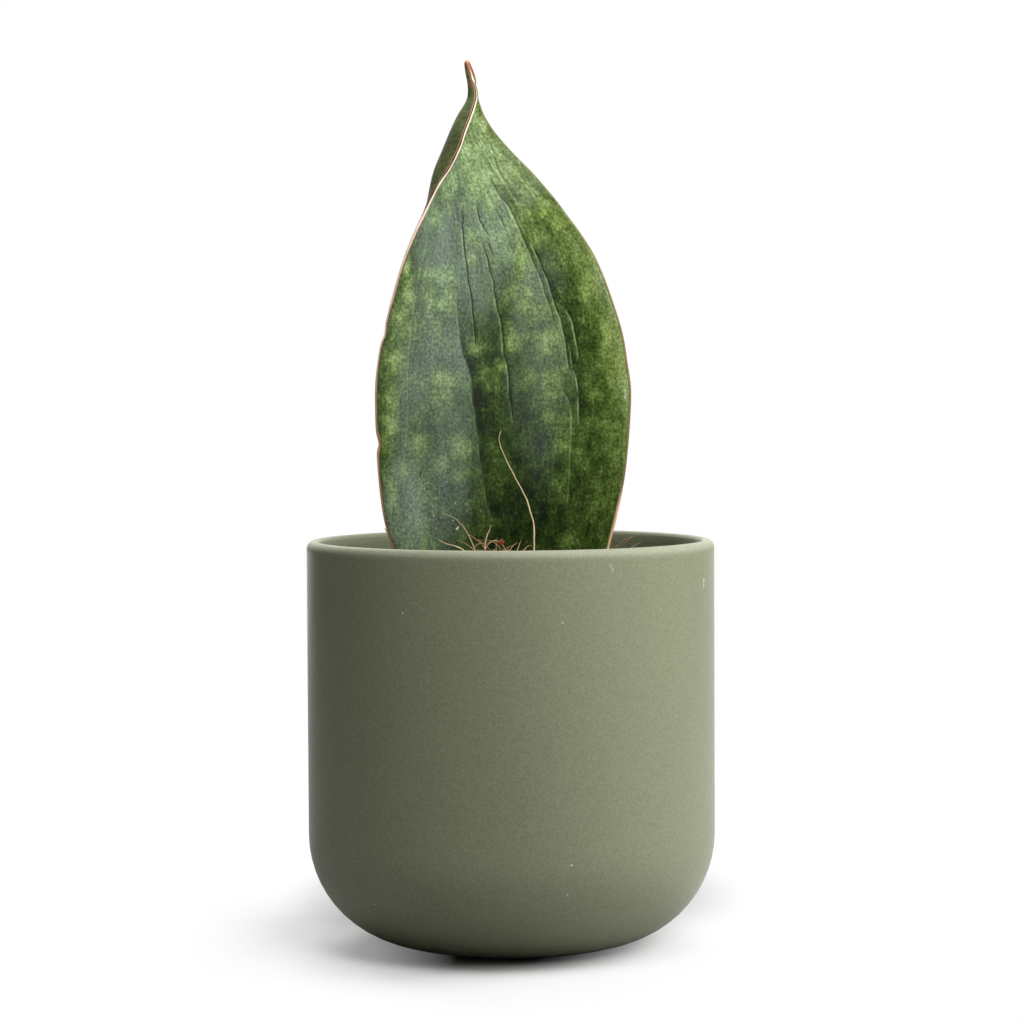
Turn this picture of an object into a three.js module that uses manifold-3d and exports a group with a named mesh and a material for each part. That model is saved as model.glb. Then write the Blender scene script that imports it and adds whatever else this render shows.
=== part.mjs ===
// A potted shark fin snake plant: one broad channelled leaf, rooted in soil, in a straight-sided ceramic pot.
// Millimetres, +Z up, the origin on the floor under the pot's axis. The viewer stands at -Y, +X to the right.
import * as THREE from "three";
import { mergeVertices } from "three/addons/utils/BufferGeometryUtils.js";
import Module from "manifold-3d";

const wasm = await Module();
wasm.setup();

// Driving dimensions

const potRadius = 75;
const potHeight = 148.4;
const footCorner = 40.4; // radius of the round foot corner, outside
const wallThickness = 4.6;
const floorThickness = 7;
const lipOuterRound = 2.4;
const lipInnerRound = 1.6;
const footRingInner = 27; // the flat ring that the pot stands on reaches from here to the foot corner
const footRecess = 2;
const potSegments = 72;

const clearance = 0.4; // between pieces that touch
const soilLevel = 137.5;
const soilMound = 3.5; // how much higher the soil lies at the leaf
const soilSegments = 48;
const soilRings = 9;

const rowsPerSection = 2; // rows of facets from one cross-section to the next
const leafColumns = 14; // facets across each face of the blade

// The leaf's cross-sections, from its buried foot to its spine. Each is a level curve at height z. Its line
// holds the left margin, two points that the curve is drawn towards, and the right margin, all [x, y]. High
// up, the first of those two lies outside the left margin, where that half of the blade rolls forward and in.
const leafSections = [
  { z: 66, line: [[-8, 5], [-4.5, 6.5], [-0.5, 6.5], [3, 5]], thick: 8, edge: 4 },
  { z: 80, line: [[-15, 3.5], [-7, 7], [2, 7], [9, 3.5]], thick: 7.6, edge: 3 },
  { z: 98, line: [[-27, 0], [-11, 7.5], [6, 8], [21, 0.5]], thick: 6.8, edge: 2.2 },
  { z: 120, line: [[-36.5, -3.5], [-9, 9], [13, 9.5], [31, -1.5]], thick: 5.8, edge: 1.6 },
  { z: 144, line: [[-42.2, -6], [-2, 9.5], [20, 10.5], [37, -2.5]], thick: 4.8, edge: 1.4 },
  { z: 157, line: [[-45.7, -7.5], [0, 9], [24, 10.5], [38.6, -2.5]], thick: 4.5, edge: 1.4 },
  { z: 175, line: [[-47.7, -8.5], [4, 9], [28, 11.5], [42, -2]], thick: 4.2, edge: 1.4 },
  { z: 200, line: [[-48.5, -9], [6, 10], [29, 13], [44, 0]], thick: 3.8, edge: 1.4 },
  { z: 213, line: [[-47.6, -8.8], [2.2, 10.6], [27.4, 13.9], [42.8, 1.3]], thick: 3.6, edge: 1.4 },
  { z: 228, line: [[-44.6, -8.5], [-4, 11], [24, 15], [40, 3]], thick: 3.3, edge: 1.4 },
  { z: 252, line: [[-37.6, -8.5], [-20, 9], [14, 16.5], [31.3, 6.5]], thick: 2.9, edge: 1.4 },
  { z: 270, line: [[-29.8, -7.5], [-32, 9], [0.5, 17.5], [19.5, 10.5]], thick: 2.5, edge: 1.3 },
  { z: 278, line: [[-25.9, -7], [-36.5, 7], [-4, 17.5], [13.2, 11.5]], thick: 2.4, edge: 1.3 },
  { z: 284, line: [[-22, -6], [-38, 6], [-8, 17], [8, 12.5]], thick: 2.2, edge: 1.3 },
  { z: 291, line: [[-18.4, -4.5], [-34, 6], [-12, 17], [1.2, 13]], thick: 2.1, edge: 1.2 },
  { z: 298, line: [[-16, -2], [-28.6, 6], [-14, 17], [-5, 13]], thick: 2, edge: 1.2 },
  { z: 304, line: [[-13.8, 1], [-23.7, 6.5], [-14, 15], [-8.6, 12.5]], thick: 1.9, edge: 1.2 },
  { z: 308, line: [[-12.6, 4], [-19.2, 7], [-13.5, 14], [-9.8, 12]], thick: 1.8, edge: 1.2 },
  { z: 311, line: [[-12, 6.4], [-16.2, 7.6], [-13.9, 12.2], [-10.9, 11.2]], thick: 1.8, edge: 1.2 },
  { z: 314, line: [[-12.5, 8], [-14.3, 8.6], [-14.1, 10.4], [-12, 10.6]], thick: 2.4, edge: 1.4 },
  { z: 317, line: [[-13.3, 8.8], [-13.5, 9.2], [-13.5, 9.6], [-13.1, 10]], thick: 3.4, edge: 1.8 },
  { z: 320.5, line: [[-14.2, 9], [-14.3, 9.3], [-14.3, 9.6], [-14, 10]], thick: 3.1, edge: 1.7 },
  { z: 323.6, line: [[-15.1, 9.2], [-15.1, 9.4], [-15.1, 9.6], [-14.9, 9.8]], thick: 2.3, edge: 1.4 },
  { z: 324.8, line: [[-15.3, 9.3], [-15.3, 9.4], [-15.3, 9.6], [-15.2, 9.7]], thick: 1.5, edge: 1 },
];
const leafTip = new THREE.Vector3(-15.5, 9.5, 325.3);

// Shared helpers

// A closed geometry as a solid.
function toSolid(geometry) {
  const bare = geometry.clone();
  bare.deleteAttribute("normal");
  bare.deleteAttribute("uv");
  const merged = mergeVertices(bare, 1e-3);
  return new wasm.Manifold(
    new wasm.Mesh({
      numProp: 3,
      vertProperties: merged.attributes.position.array,
      triVerts: new Uint32Array(merged.index.array),
    }),
  );
}

// A solid as a geometry.
function toGeometry(solid) {
  const mesh = solid.getMesh();
  const geometry = new THREE.BufferGeometry();
  geometry.setAttribute("position", new THREE.BufferAttribute(mesh.vertProperties, 3));
  geometry.setIndex(new THREE.BufferAttribute(mesh.triVerts, 1));
  geometry.computeVertexNormals();
  return geometry;
}

// Points on a round stretch of a profile, from one angle to another in degrees.
function arc(centreR, centreZ, radius, from, to, steps) {
  const points = [];
  for (let i = 0; i <= steps; i++) {
    const angle = THREE.MathUtils.degToRad(from + ((to - from) * i) / steps);
    points.push(new THREE.Vector2(centreR + radius * Math.cos(angle), centreZ + radius * Math.sin(angle)));
  }
  return points;
}

// A profile turned round the pot's axis, stood up along +Z.
function turned(profile, segments) {
  return new THREE.LatheGeometry(profile, segments).rotateX(Math.PI / 2);
}

// The value at a fractional place along a list, on a smooth curve through its entries.
function smooth(values, place) {
  const last = values.length - 1;
  const i = Math.min(Math.floor(place), last - 1);
  const t = place - i;
  const a = values[Math.max(i - 1, 0)];
  const b = values[i];
  const c = values[i + 1];
  const d = values[Math.min(i + 2, last)];
  const bend = 2 * a - 5 * b + 4 * c - d;
  const twist = 3 * b - a - 3 * c + d;
  return b + 0.5 * t * (c - a + t * (bend + t * twist));
}

// Cover pot

const insideRadius = potRadius - wallThickness;
const insideCorner = footCorner - wallThickness;
const footRadius = potRadius - footCorner;

function potProfile() {
  return [
    new THREE.Vector2(0, footRecess),
    new THREE.Vector2(footRingInner - footRecess, footRecess),
    new THREE.Vector2(footRingInner, 0),
    ...arc(footRadius, footCorner, footCorner, -90, 0, 9),
    ...arc(potRadius - lipOuterRound, potHeight - lipOuterRound, lipOuterRound, 0, 90, 4),
    ...arc(insideRadius + lipInnerRound, potHeight - lipInnerRound, lipInnerRound, 90, 180, 3),
    ...arc(insideRadius - insideCorner, floorThickness + insideCorner, insideCorner, 0, -90, 6),
    new THREE.Vector2(0, floorThickness),
  ];
}

// Leaf

const sectionCount = leafSections.length - 1;

function along(pick, place) {
  return smooth(leafSections.map(pick), place);
}

// A point on the leaf's middle sheet: place counts the sections up the leaf, across runs from 0 to 1.
function leafSheet(place, across) {
  const line = [0, 1, 2, 3].map(
    (i) => new THREE.Vector2(along((s) => s.line[i][0], place), along((s) => s.line[i][1], place)),
  );
  const point = new THREE.CubicBezierCurve(...line).getPoint(across);
  return new THREE.Vector3(point.x, point.y, along((s) => s.z, place));
}

// The way out of the leaf's front face.
function leafNormal(place, across) {
  const step = 1e-3;
  const above = leafSheet(Math.min(place + step, sectionCount), across);
  const below = leafSheet(Math.max(place - step, 0), across);
  const toRight = leafSheet(place, Math.min(across + step, 1));
  const toLeft = leafSheet(place, Math.max(across - step, 0));
  return toRight.sub(toLeft).cross(above.sub(below)).normalize();
}

const marginStep = 0.02; // how far in from a margin its outward way is measured, as a share of the width

// One ring of the leaf's skin: the front face from left to right, then the back face from right to left.
function leafRing(place, grow) {
  const thick = along((s) => s.thick, place) / 2;
  const edge = along((s) => s.edge, place) / 2;
  const front = [];
  const back = [];
  for (let i = 0; i <= leafColumns; i++) {
    const across = 0.5 - 0.5 * Math.cos((Math.PI * i) / leafColumns);
    const bulge = 4 * across * (1 - across);
    const half = edge + (thick - edge) * bulge + grow;
    const middle = leafSheet(place, across);
    const out = leafNormal(place, across);
    front.push(middle.clone().addScaledVector(out, half));
    back.unshift(middle.clone().addScaledVector(out, -half));
  }
  const marginTip = (margin, inside) => {
    const point = leafSheet(place, margin);
    const outward = point.clone().sub(leafSheet(place, inside)).normalize();
    return point.addScaledVector(outward, edge + grow);
  };
  return [marginTip(0, marginStep), ...front, marginTip(1, 1 - marginStep), ...back];
}

// The leaf's closed skin between two rows, with its faces split alike on both sides.
function leafGeometry(firstRow, lastRow, grow, tip) {
  const rows = lastRow - firstRow;
  const rings = [];
  for (let j = 0; j <= rows; j++) {
    rings.push(leafRing((firstRow + j) / rowsPerSection, grow));
  }
  const count = rings[0].length;
  const points = rings.flat();
  const faces = [];
  for (let j = 0; j < rows; j++) {
    for (let k = 0; k < count; k++) {
      const next = (k + 1) % count;
      const low = j * count;
      const high = low + count;
      const frontHalf = k < count / 2;
      if (frontHalf) faces.push(low + k, low + next, high + next, low + k, high + next, high + k);
      else faces.push(low + k, low + next, high + k, low + next, high + next, high + k);
    }
  }
  const middleOf = (ring) => ring.reduce((sum, p) => sum.add(p), new THREE.Vector3()).divideScalar(count);
  const foot = points.push(middleOf(rings[0])) - 1;
  const top = points.push(tip ? tip.clone() : middleOf(rings[rows])) - 1;
  for (let k = 0; k < count; k++) {
    const next = (k + 1) % count;
    faces.push(foot, next, k);
    faces.push(top, rows * count + k, rows * count + next);
  }
  const geometry = new THREE.BufferGeometry().setFromPoints(points);
  geometry.setIndex(faces);
  return geometry;
}

// Coir and soil

const fibreDiameter = 0.9;
const fibreSides = 5;
const fibreSteps = 9;
const matSides = 18;
const matRings = 10;

// A fibre: a slim tube along a smooth route.
function fibre(route, diameter, steps) {
  const radius = diameter / 2;
  const outline = new THREE.Shape(arc(0, 0, radius, 0, 360 - 360 / fibreSides, fibreSides - 1));
  const path = new THREE.CatmullRomCurve3(route.map((p) => new THREE.Vector3(...p)));
  return new THREE.ExtrudeGeometry(outline, { steps, extrudePath: path, bevelEnabled: false });
}

// A flat pad of matted coir.
function mat([x, y, z], [width, depth, height], grow) {
  return new THREE.SphereGeometry(1, matSides, matRings)
    .rotateX(Math.PI / 2)
    .scale(width / 2 + grow, depth / 2 + grow, height / 2 + grow)
    .translate(x, y, z);
}

const moundCentre = [-3, 4];
const moundReach = [45, 32];

// The soil's surface: a low mound round the leaf, with gentle waves.
function soilHeight(x, y) {
  const outX = (x - moundCentre[0]) / moundReach[0];
  const outY = (y - moundCentre[1]) / moundReach[1];
  const mound = soilMound * Math.exp(-(outX ** 2) - outY ** 2);
  const waves = 0.7 * Math.sin(x / 9 + 1.3) * Math.cos(y / 11) + 0.5 * Math.sin((x + y) / 5.3);
  return soilLevel + mound + waves;
}

const soilRadius = insideRadius - clearance;
const soilCorner = insideCorner - clearance;
const soilFloor = floorThickness + clearance;

function soilGeometry() {
  const profile = [
    new THREE.Vector2(0, soilFloor),
    ...arc(soilRadius - soilCorner, soilFloor + soilCorner, soilCorner, -90, 0, 6),
  ];
  for (let i = 0; i <= soilRings; i++) {
    profile.push(new THREE.Vector2(soilRadius * (1 - i / soilRings), soilLevel));
  }
  const geometry = turned(profile, soilSegments);
  const position = geometry.attributes.position;
  for (let i = 0; i < position.count; i++) {
    const onTop = Math.abs(position.getZ(i) - soilLevel) < 1e-3;
    if (onTop) position.setZ(i, soilHeight(position.getX(i), position.getY(i)));
  }
  return geometry;
}

// Long dry strand: it stands in a hole in the soil and leans towards the leaf without touching it.
const strandRoute = [
  [9.3, -8.5, 128],
  [9.4, -8, 138],
  [9.3, -7.2, 145.2],
  [9.1, -5.8, 150.2],
  [8.5, -4.3, 154.4],
  [7.3, -2.6, 158.9],
  [5.7, -0.8, 163.7],
  [3.2, 0.2, 168.6],
  [0.2, 1, 174.4],
  [-2.3, 1.4, 179.9],
  [-3.8, 1.6, 183.8],
  [-4, 1.6, 186.3],
  [-3.2, 1.6, 188.4],
];
const strandDiameter = 0.9;
const strandHole = 2.1; // the hole that it stands in
const strandSteps = 30;

// Front coir tuft
const frontMatCentre = [-10.5, -10, 141.5];
const frontMatSize = [36, 12, 6];
const frontFibres = [
  // a long one that leans out to the left
  [[-25.2, -4.5, 158.3], [-20.8, -4, 156.8], [-16.4, -4, 152.1], [-13.1, -7, 145.3], [-11, -9, 141]],
  // low loops
  [[-24, -10, 141], [-26.2, -8, 148.5], [-22.9, -8, 147.2], [-17.8, -9, 145.4], [-14, -10, 141]],
  [[-18, -8, 141], [-19.7, -6, 148.5], [-17.1, -7, 147.5], [-14.5, -8, 146.1], [-11, -9, 142]],
  [[-13, -6, 141], [-12, -4, 149.1], [-9.9, -6, 147], [-7.6, -8, 145.3], [-5, -10, 142]],
  [[-10, -10, 141], [-8.6, -9, 146.6], [-5.3, -9, 148.4], [-2.2, -9, 145.8], [-1, -9, 141]],
  // loose ends
  [[-5, -9, 141], [-5.2, -8, 145.3], [-5.2, -7, 147.8]],
  [[-9, -9, 141], [-9.4, -5, 145.1], [-8.8, -3, 149.4], [-7.6, -1.5, 152], [-7.2, -1, 153.7]],
  [[-3, -10, 141], [-1.3, -9, 145.7], [1.6, -9, 147.1]],
  [[2, -9, 141], [2.7, -7, 145.2], [3.8, -5, 148.2]],
  [[5, -10, 141], [6, -6, 145.9], [8, -4, 146.2]],
];

// Rear coir tuft
const rearMatCentre = [41, 30, 139.5];
const rearMatSize = [14, 10, 4.5];
const rearFibres = [
  [[38, 28, 139], [38.6, 28, 143], [40.2, 29, 144.1], [43.7, 33, 146.5], [49.3, 40, 147.2]],
  [[41, 30, 139], [41.4, 31, 142.8], [42.5, 32, 144.3], [44.9, 34, 146.4], [48.1, 38, 148.2]],
  [[44, 31, 139], [45.8, 36, 142.8], [47.8, 39, 144], [50.2, 42, 144.8]],
];
function tuft(centre, size, routes) {
  let solid = toSolid(mat(centre, size, 0));
  for (const route of routes) {
    solid = solid.add(toSolid(fibre(route, fibreDiameter, fibreSteps)));
  }
  return solid;
}

// The assembly

const slotTopRow = 5 * rowsPerSection; // well above the soil
const leafTopRow = sectionCount * rowsPerSection;

const soilSolid = [
  leafGeometry(0, slotTopRow, clearance),
  mat(frontMatCentre, frontMatSize, clearance),
  mat(rearMatCentre, rearMatSize, clearance),
  fibre(strandRoute, strandHole, strandSteps),
].reduce((soil, piece) => soil.subtract(toSolid(piece)), toSolid(soilGeometry()));

const glaze = new THREE.MeshStandardMaterial({ color: 0x7d8468, roughness: 0.55, metalness: 0 });
const peat = new THREE.MeshStandardMaterial({ color: 0x3b2a1e, roughness: 0.95, metalness: 0 });
const leafGreen = new THREE.MeshStandardMaterial({ color: 0x47662f, roughness: 0.45, metalness: 0 });
const tanCoir = new THREE.MeshStandardMaterial({ color: 0xb98a55, roughness: 0.8, metalness: 0 });
const redCoir = new THREE.MeshStandardMaterial({ color: 0x7a4a35, roughness: 0.8, metalness: 0 });

const plant = new THREE.Group();

function place(name, geometry, material) {
  const mesh = new THREE.Mesh(geometry, material);
  mesh.name = name;
  plant.add(mesh);
}

place("cover_pot", turned(potProfile(), potSegments), glaze);
place("potting_soil", toGeometry(soilSolid), peat);
place("leaf", leafGeometry(1, leafTopRow, 0, leafTip), leafGreen);
place("front_coir_tuft", toGeometry(tuft(frontMatCentre, frontMatSize, frontFibres)), tanCoir);
place("long_dry_strand", fibre(strandRoute, strandDiameter, strandSteps), tanCoir);
place("rear_coir_tuft", toGeometry(tuft(rearMatCentre, rearMatSize, rearFibres)), redCoir);

export default plant;
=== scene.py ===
# A potted shark fin snake plant: one broad, channelled, mottled leaf, rooted in soil, in a round ceramic pot.
# Metres, +Z up, the origin on the floor under the pot's axis. The viewer stands at -Y, +X to the right.
import math
import bpy
import numpy as np
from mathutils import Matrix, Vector, noise


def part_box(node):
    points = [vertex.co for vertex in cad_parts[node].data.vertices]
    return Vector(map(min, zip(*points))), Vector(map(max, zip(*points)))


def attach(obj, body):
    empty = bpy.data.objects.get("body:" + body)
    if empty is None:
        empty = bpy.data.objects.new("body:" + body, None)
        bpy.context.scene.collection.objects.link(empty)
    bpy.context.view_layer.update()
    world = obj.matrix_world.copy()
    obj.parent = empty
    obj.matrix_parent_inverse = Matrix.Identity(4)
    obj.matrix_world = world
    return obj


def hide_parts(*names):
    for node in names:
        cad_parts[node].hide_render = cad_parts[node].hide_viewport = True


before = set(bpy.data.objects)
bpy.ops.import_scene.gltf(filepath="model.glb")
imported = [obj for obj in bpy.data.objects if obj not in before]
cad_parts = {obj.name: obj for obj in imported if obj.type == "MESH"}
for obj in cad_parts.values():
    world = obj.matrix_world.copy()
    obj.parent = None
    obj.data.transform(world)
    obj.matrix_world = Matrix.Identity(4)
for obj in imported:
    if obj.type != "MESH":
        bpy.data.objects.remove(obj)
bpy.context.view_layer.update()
MM = 0.001  # sizes of the object are named in millimetres

# Camera, fitted to the pot's rim and foot in the photograph
PHOTO_WIDTH = 1024  # pixels
FOCAL_LENGTH = 3158.2  # pixels
CAMERA_PLACE = (0.9, -1162.5, 211.9)  # mm
CAMERA_PITCH = 0.0459  # radians below level
CAMERA_ROLL = 0.0048  # radians

camera_data = bpy.data.cameras.new("camera")
camera_data.lens = FOCAL_LENGTH * camera_data.sensor_width / PHOTO_WIDTH
camera = bpy.data.objects.new("camera", camera_data)
camera.location = Vector(CAMERA_PLACE) * MM
camera.rotation_euler = (math.radians(90) - CAMERA_PITCH, CAMERA_ROLL, 0)
bpy.context.scene.collection.objects.link(camera)
bpy.context.scene.camera = camera
bpy.context.scene.view_settings.view_transform = "Standard"


# Shared helpers


def linear(hex_colour):
    """An sRGB hex value as linear red, green, blue and alpha."""
    channels = [int(hex_colour[i : i + 2], 16) / 255 for i in (1, 3, 5)]
    return [c / 12.92 if c <= 0.04045 else ((c + 0.055) / 1.055) ** 2.4 for c in channels] + [1.0]


def add(tree, kind, inputs=(), stops=(), **settings):
    """Adds a node with its settings, and fills its colour ramp with the stops.
    Inputs go by name, or in a list in the order of those in use, as in Map Range: value, from, from, to, to.
    Each is a value, a socket, or a node, whose first output in use feeds it."""
    node = tree.nodes.new(kind)
    for name, value in settings.items():
        setattr(node, name, value)
    if stops:
        elements = node.color_ramp.elements
        elements.remove(elements[1])
        for place, colour in stops:
            elements.new(place).color = colour
        elements.remove(elements[0])
    sockets = [socket for socket in node.inputs if socket.enabled]
    if isinstance(inputs, dict):
        sockets = [next(socket for socket in sockets if socket.name == name) for name in inputs]
        inputs = inputs.values()
    for socket, value in zip(sockets, inputs):
        if isinstance(value, bpy.types.Node):
            value = next(output for output in value.outputs if output.enabled)
        if isinstance(value, bpy.types.NodeSocket):
            tree.links.new(value, socket)
        else:
            socket.default_value = value
    return node


def new_material(name):
    """An empty material and its node tree."""
    material = bpy.data.materials.new(name)
    material.use_nodes = True
    material.node_tree.nodes.clear()
    return material, material.node_tree


def new_object(name, points, edges, faces):
    """A mesh object at the origin, from points in millimetres."""
    mesh = bpy.data.meshes.new(name)
    mesh.from_pydata([Vector(p) * MM for p in points], edges, faces)
    mesh.update()
    piece = bpy.data.objects.new(name, mesh)
    bpy.context.scene.collection.objects.link(piece)
    return piece


def keep(piece, name, kind, values):
    """Stores one value for each point of a piece's mesh."""
    attribute = piece.data.attributes.new(name, kind, "POINT")
    field = "vector" if kind == "FLOAT_VECTOR" else "value"
    attribute.data.foreach_set(field, np.asarray(values, np.float32).ravel())


def new_growth(name, sizes):
    """A Geometry Nodes tree with named inputs, and their sockets. sizes gives each input's type."""
    tree = bpy.data.node_groups.new(name, "GeometryNodeTree")
    tree.interface.new_socket("Geometry", in_out="INPUT", socket_type="NodeSocketGeometry")
    for label, kind in sizes.items():
        tree.interface.new_socket(label, in_out="INPUT", socket_type="NodeSocket" + kind)
    tree.interface.new_socket("Geometry", in_out="OUTPUT", socket_type="NodeSocketGeometry")
    return tree, tree.nodes.new("NodeGroupInput").outputs


def grow(piece, tree, values):
    """Runs a Geometry Nodes tree on a piece and leaves the result as the piece's plain mesh."""
    modifier = piece.modifiers.new(tree.name, "NODES")
    modifier.node_group = tree
    for item in tree.interface.items_tree:
        if item.in_out == "INPUT" and item.name in values:
            modifier[item.identifier] = values[item.name]
    shapes = bpy.context.evaluated_depsgraph_get()
    mesh = bpy.data.meshes.new_from_object(
        piece.evaluated_get(shapes), preserve_all_data_layers=True, depsgraph=shapes)
    piece.modifiers.remove(modifier)
    piece.data = mesh


# Pot: a straight wall with a round lip, a big round foot corner and a shallow recess under the floor

pot_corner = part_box("cover_pot")[1]
POT_RADIUS = pot_corner.x / MM
POT_HEIGHT = pot_corner.z / MM
FOOT_CORNER = 40.4
WALL = 4.6
FLOOR = 7
LIP_OUTER_ROUND = 2.9
LIP_INNER_ROUND = 1.6
# the same band carries the lip's pale colour, which is thin glaze and also a painted highlight
LIP_GLAZE = (4, 1.5)  # how far under the lip's top the glaze starts to thin, and where it is thinnest
FOOT_RING_INNER = 27
FOOT_RING_ROUND = 0.8
FOOT_RECESS = 2
INSIDE_RADIUS = POT_RADIUS - WALL
SWEEP_RADIUS = 1000  # the circle that the pot's profile is swept along; the profile is drawn inwards from it
WALL_STAY = 4  # how far from a rounded corner the straight wall gets a point of its own

# Each corner of the profile: distance from the axis, height, rounding
POT_CORNERS = [
    (0, FOOT_RECESS, 0),
    (FOOT_RING_INNER - FOOT_RECESS, FOOT_RECESS, FOOT_RING_ROUND),
    (FOOT_RING_INNER, 0, FOOT_RING_ROUND),
    (POT_RADIUS, 0, FOOT_CORNER),
    (POT_RADIUS, FOOT_CORNER + WALL_STAY, 0),
    (POT_RADIUS, POT_HEIGHT / 2, 0),
    (POT_RADIUS, POT_HEIGHT - LIP_OUTER_ROUND - WALL_STAY, 0),
    (POT_RADIUS, POT_HEIGHT, LIP_OUTER_ROUND),
    (INSIDE_RADIUS, POT_HEIGHT, LIP_INNER_ROUND),
    (INSIDE_RADIUS, POT_HEIGHT - LIP_INNER_ROUND - WALL_STAY, 0),
    (INSIDE_RADIUS, FOOT_CORNER + WALL_STAY, 0),
    (INSIDE_RADIUS, FLOOR, FOOT_CORNER - WALL),
    (0, FLOOR, 0),
]


def pot_turning():
    """Rounds the corners of a drawn profile and turns it round the pot's axis."""
    sizes = {"Sweep radius": "Float", "Turns": "Int", "Corner points": "Int", "Material": "Material"}
    tree, given = new_growth("pot_turning", sizes)
    drawn = add(tree, "GeometryNodeMeshToCurve", {"Mesh": given["Geometry"]})
    rounding = add(tree, "GeometryNodeInputNamedAttribute", {"Name": "rounding"})
    rounded = add(
        tree, "GeometryNodeFilletCurve",
        {"Curve": drawn, "Count": given["Corner points"], "Radius": rounding}, mode="POLY")
    circle = add(tree, "GeometryNodeCurvePrimitiveCircle", {
        "Resolution": given["Turns"], "Radius": given["Sweep radius"]})
    upright = add(tree, "GeometryNodeSetCurveNormal", {"Curve": circle}, mode="Z_UP")
    wall = add(tree, "GeometryNodeCurveToMesh", {"Curve": upright, "Profile Curve": rounded})
    closed = add(tree, "GeometryNodeMergeByDistance", {"Geometry": wall, "Distance": 0.02 * MM})
    even = add(tree, "GeometryNodeSetShadeSmooth", {"Geometry": closed})
    real = add(tree, "GeometryNodeRealizeInstances", {"Geometry": even})
    glazed = add(tree, "GeometryNodeSetMaterial", {"Geometry": real, "Material": given["Material"]})
    add(tree, "NodeGroupOutput", {"Geometry": glazed})
    return tree


# Pale scratches in the glaze: middle, half size each way, how pale
GLAZE_SCRATCHES = [
    ((69.1, -27.9, 134.8), (1, 1, 1.1), 0.8),
    ((69.2, -27.9, 133.1), (0.8, 0.8, 1.3), 0.6),
    ((35, -66.3, 142.7), (0.4, 0.4, 1.2), 0.25),
    ((35.6, -66, 141.2), (0.4, 0.4, 1), 0.35),
]


def matt_sage_glaze():
    """Stoneware sprayed with a matt glaze and fired: a soft sheen,
    and a fine sandy grain of crystals and pits."""
    material, t = new_material("matt_sage_glaze")
    place = add(t, "ShaderNodeTexCoord").outputs["Object"]
    grain = add(t, "ShaderNodeTexNoise", {"Vector": place, "Scale": 1 / (0.8 * MM), "Detail": 3.0})
    sand = add(t, "ShaderNodeMapRange", {"Value": grain, "From Min": 0.3, "From Max": 0.7})
    sage = add(
        t, "ShaderNodeMix", {"Factor": sand, "A": linear("#7c8165"), "B": linear("#8f9477")},
        data_type="RGBA")
    specks = add(t, "ShaderNodeTexVoronoi", {"Vector": place, "Scale": 1 / (11 * MM)})
    speck = add(t, "ShaderNodeMapRange", {
        "Value": specks.outputs["Distance"], "From Min": 0.045, "From Max": 0.03})
    kind = add(t, "ShaderNodeSeparateXYZ", {"Vector": specks.outputs["Color"]})
    pale = add(t, "ShaderNodeMapRange", {"Value": kind, "From Min": 0.45, "From Max": 0.5})
    speck_colour = add(
        t, "ShaderNodeMix", {"Factor": pale, "A": linear("#4c4d3e"), "B": linear("#c6c9b4")}, data_type="RGBA"
    )
    height = add(t, "ShaderNodeSeparateXYZ", {"Vector": place}).outputs["Z"]
    lip_low, lip_high = [(POT_HEIGHT - below) * MM for below in LIP_GLAZE]
    # The glaze runs off the lip in the kiln and stays thin and dry there, so that the pale body shows
    # through; the pale colour there is also a painted highlight on the lip
    thin = add(t, "ShaderNodeMapRange", [height, lip_low, lip_high, 0, 0.2])
    layers = [(speck, speck_colour), (thin, linear("#cfcdbf"))]
    for middle, half_size, share in GLAZE_SCRATCHES:
        apart = add(t, "ShaderNodeVectorMath", [place, tuple(m * MM for m in middle)], operation="SUBTRACT")
        fitted = add(t, "ShaderNodeVectorMath", [apart, tuple(1 / (h * MM) for h in half_size)],
        operation="MULTIPLY")
        away = add(t, "ShaderNodeVectorMath", [fitted], operation="LENGTH")
        layers.append((add(t, "ShaderNodeMapRange", [away, 1, 0.6, 0, share]), linear("#dcdcc4")))
    colour = sage
    for share, tint in layers:
        colour = add(t, "ShaderNodeMix", [share, colour, tint], data_type="RGBA")
    pebble = add(t, "ShaderNodeTexNoise", {"Vector": place, "Scale": 1 / (0.6 * MM), "Detail": 2.0})
    skin = add(t, "ShaderNodeBump", {"Height": pebble, "Strength": 0.5, "Distance": 0.06 * MM})
    dryness = add(t, "ShaderNodeMapRange", [height, lip_low, lip_high, 0.46, 0.85])
    finish = add(t, "ShaderNodeBsdfPrincipled", {
        "Base Color": colour, "Roughness": dryness, "IOR": 1.5, "Sheen Weight": 0.12, "Sheen Roughness": 0.25,
        "Normal": skin})
    add(t, "ShaderNodeOutputMaterial", {"Surface": finish})
    return material


def make_pot():
    points = [(r - SWEEP_RADIUS, -z, 0) for r, z, rounding in POT_CORNERS]
    edges = [(i, i + 1) for i in range(len(points) - 1)]
    pot = new_object("glazed_pot", points, edges, [])
    keep(pot, "rounding", "FLOAT", [rounding * MM for r, z, rounding in POT_CORNERS])
    values = {
        "Sweep radius": SWEEP_RADIUS * MM, "Turns": 200, "Corner points": 14, "Material": matt_sage_glaze()}
    grow(pot, pot_turning(), values)
    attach(pot, "root")
    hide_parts("cover_pot")


# Leaf: level curves from the buried foot to the spine, as in the solid, with its creases and margins added

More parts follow.
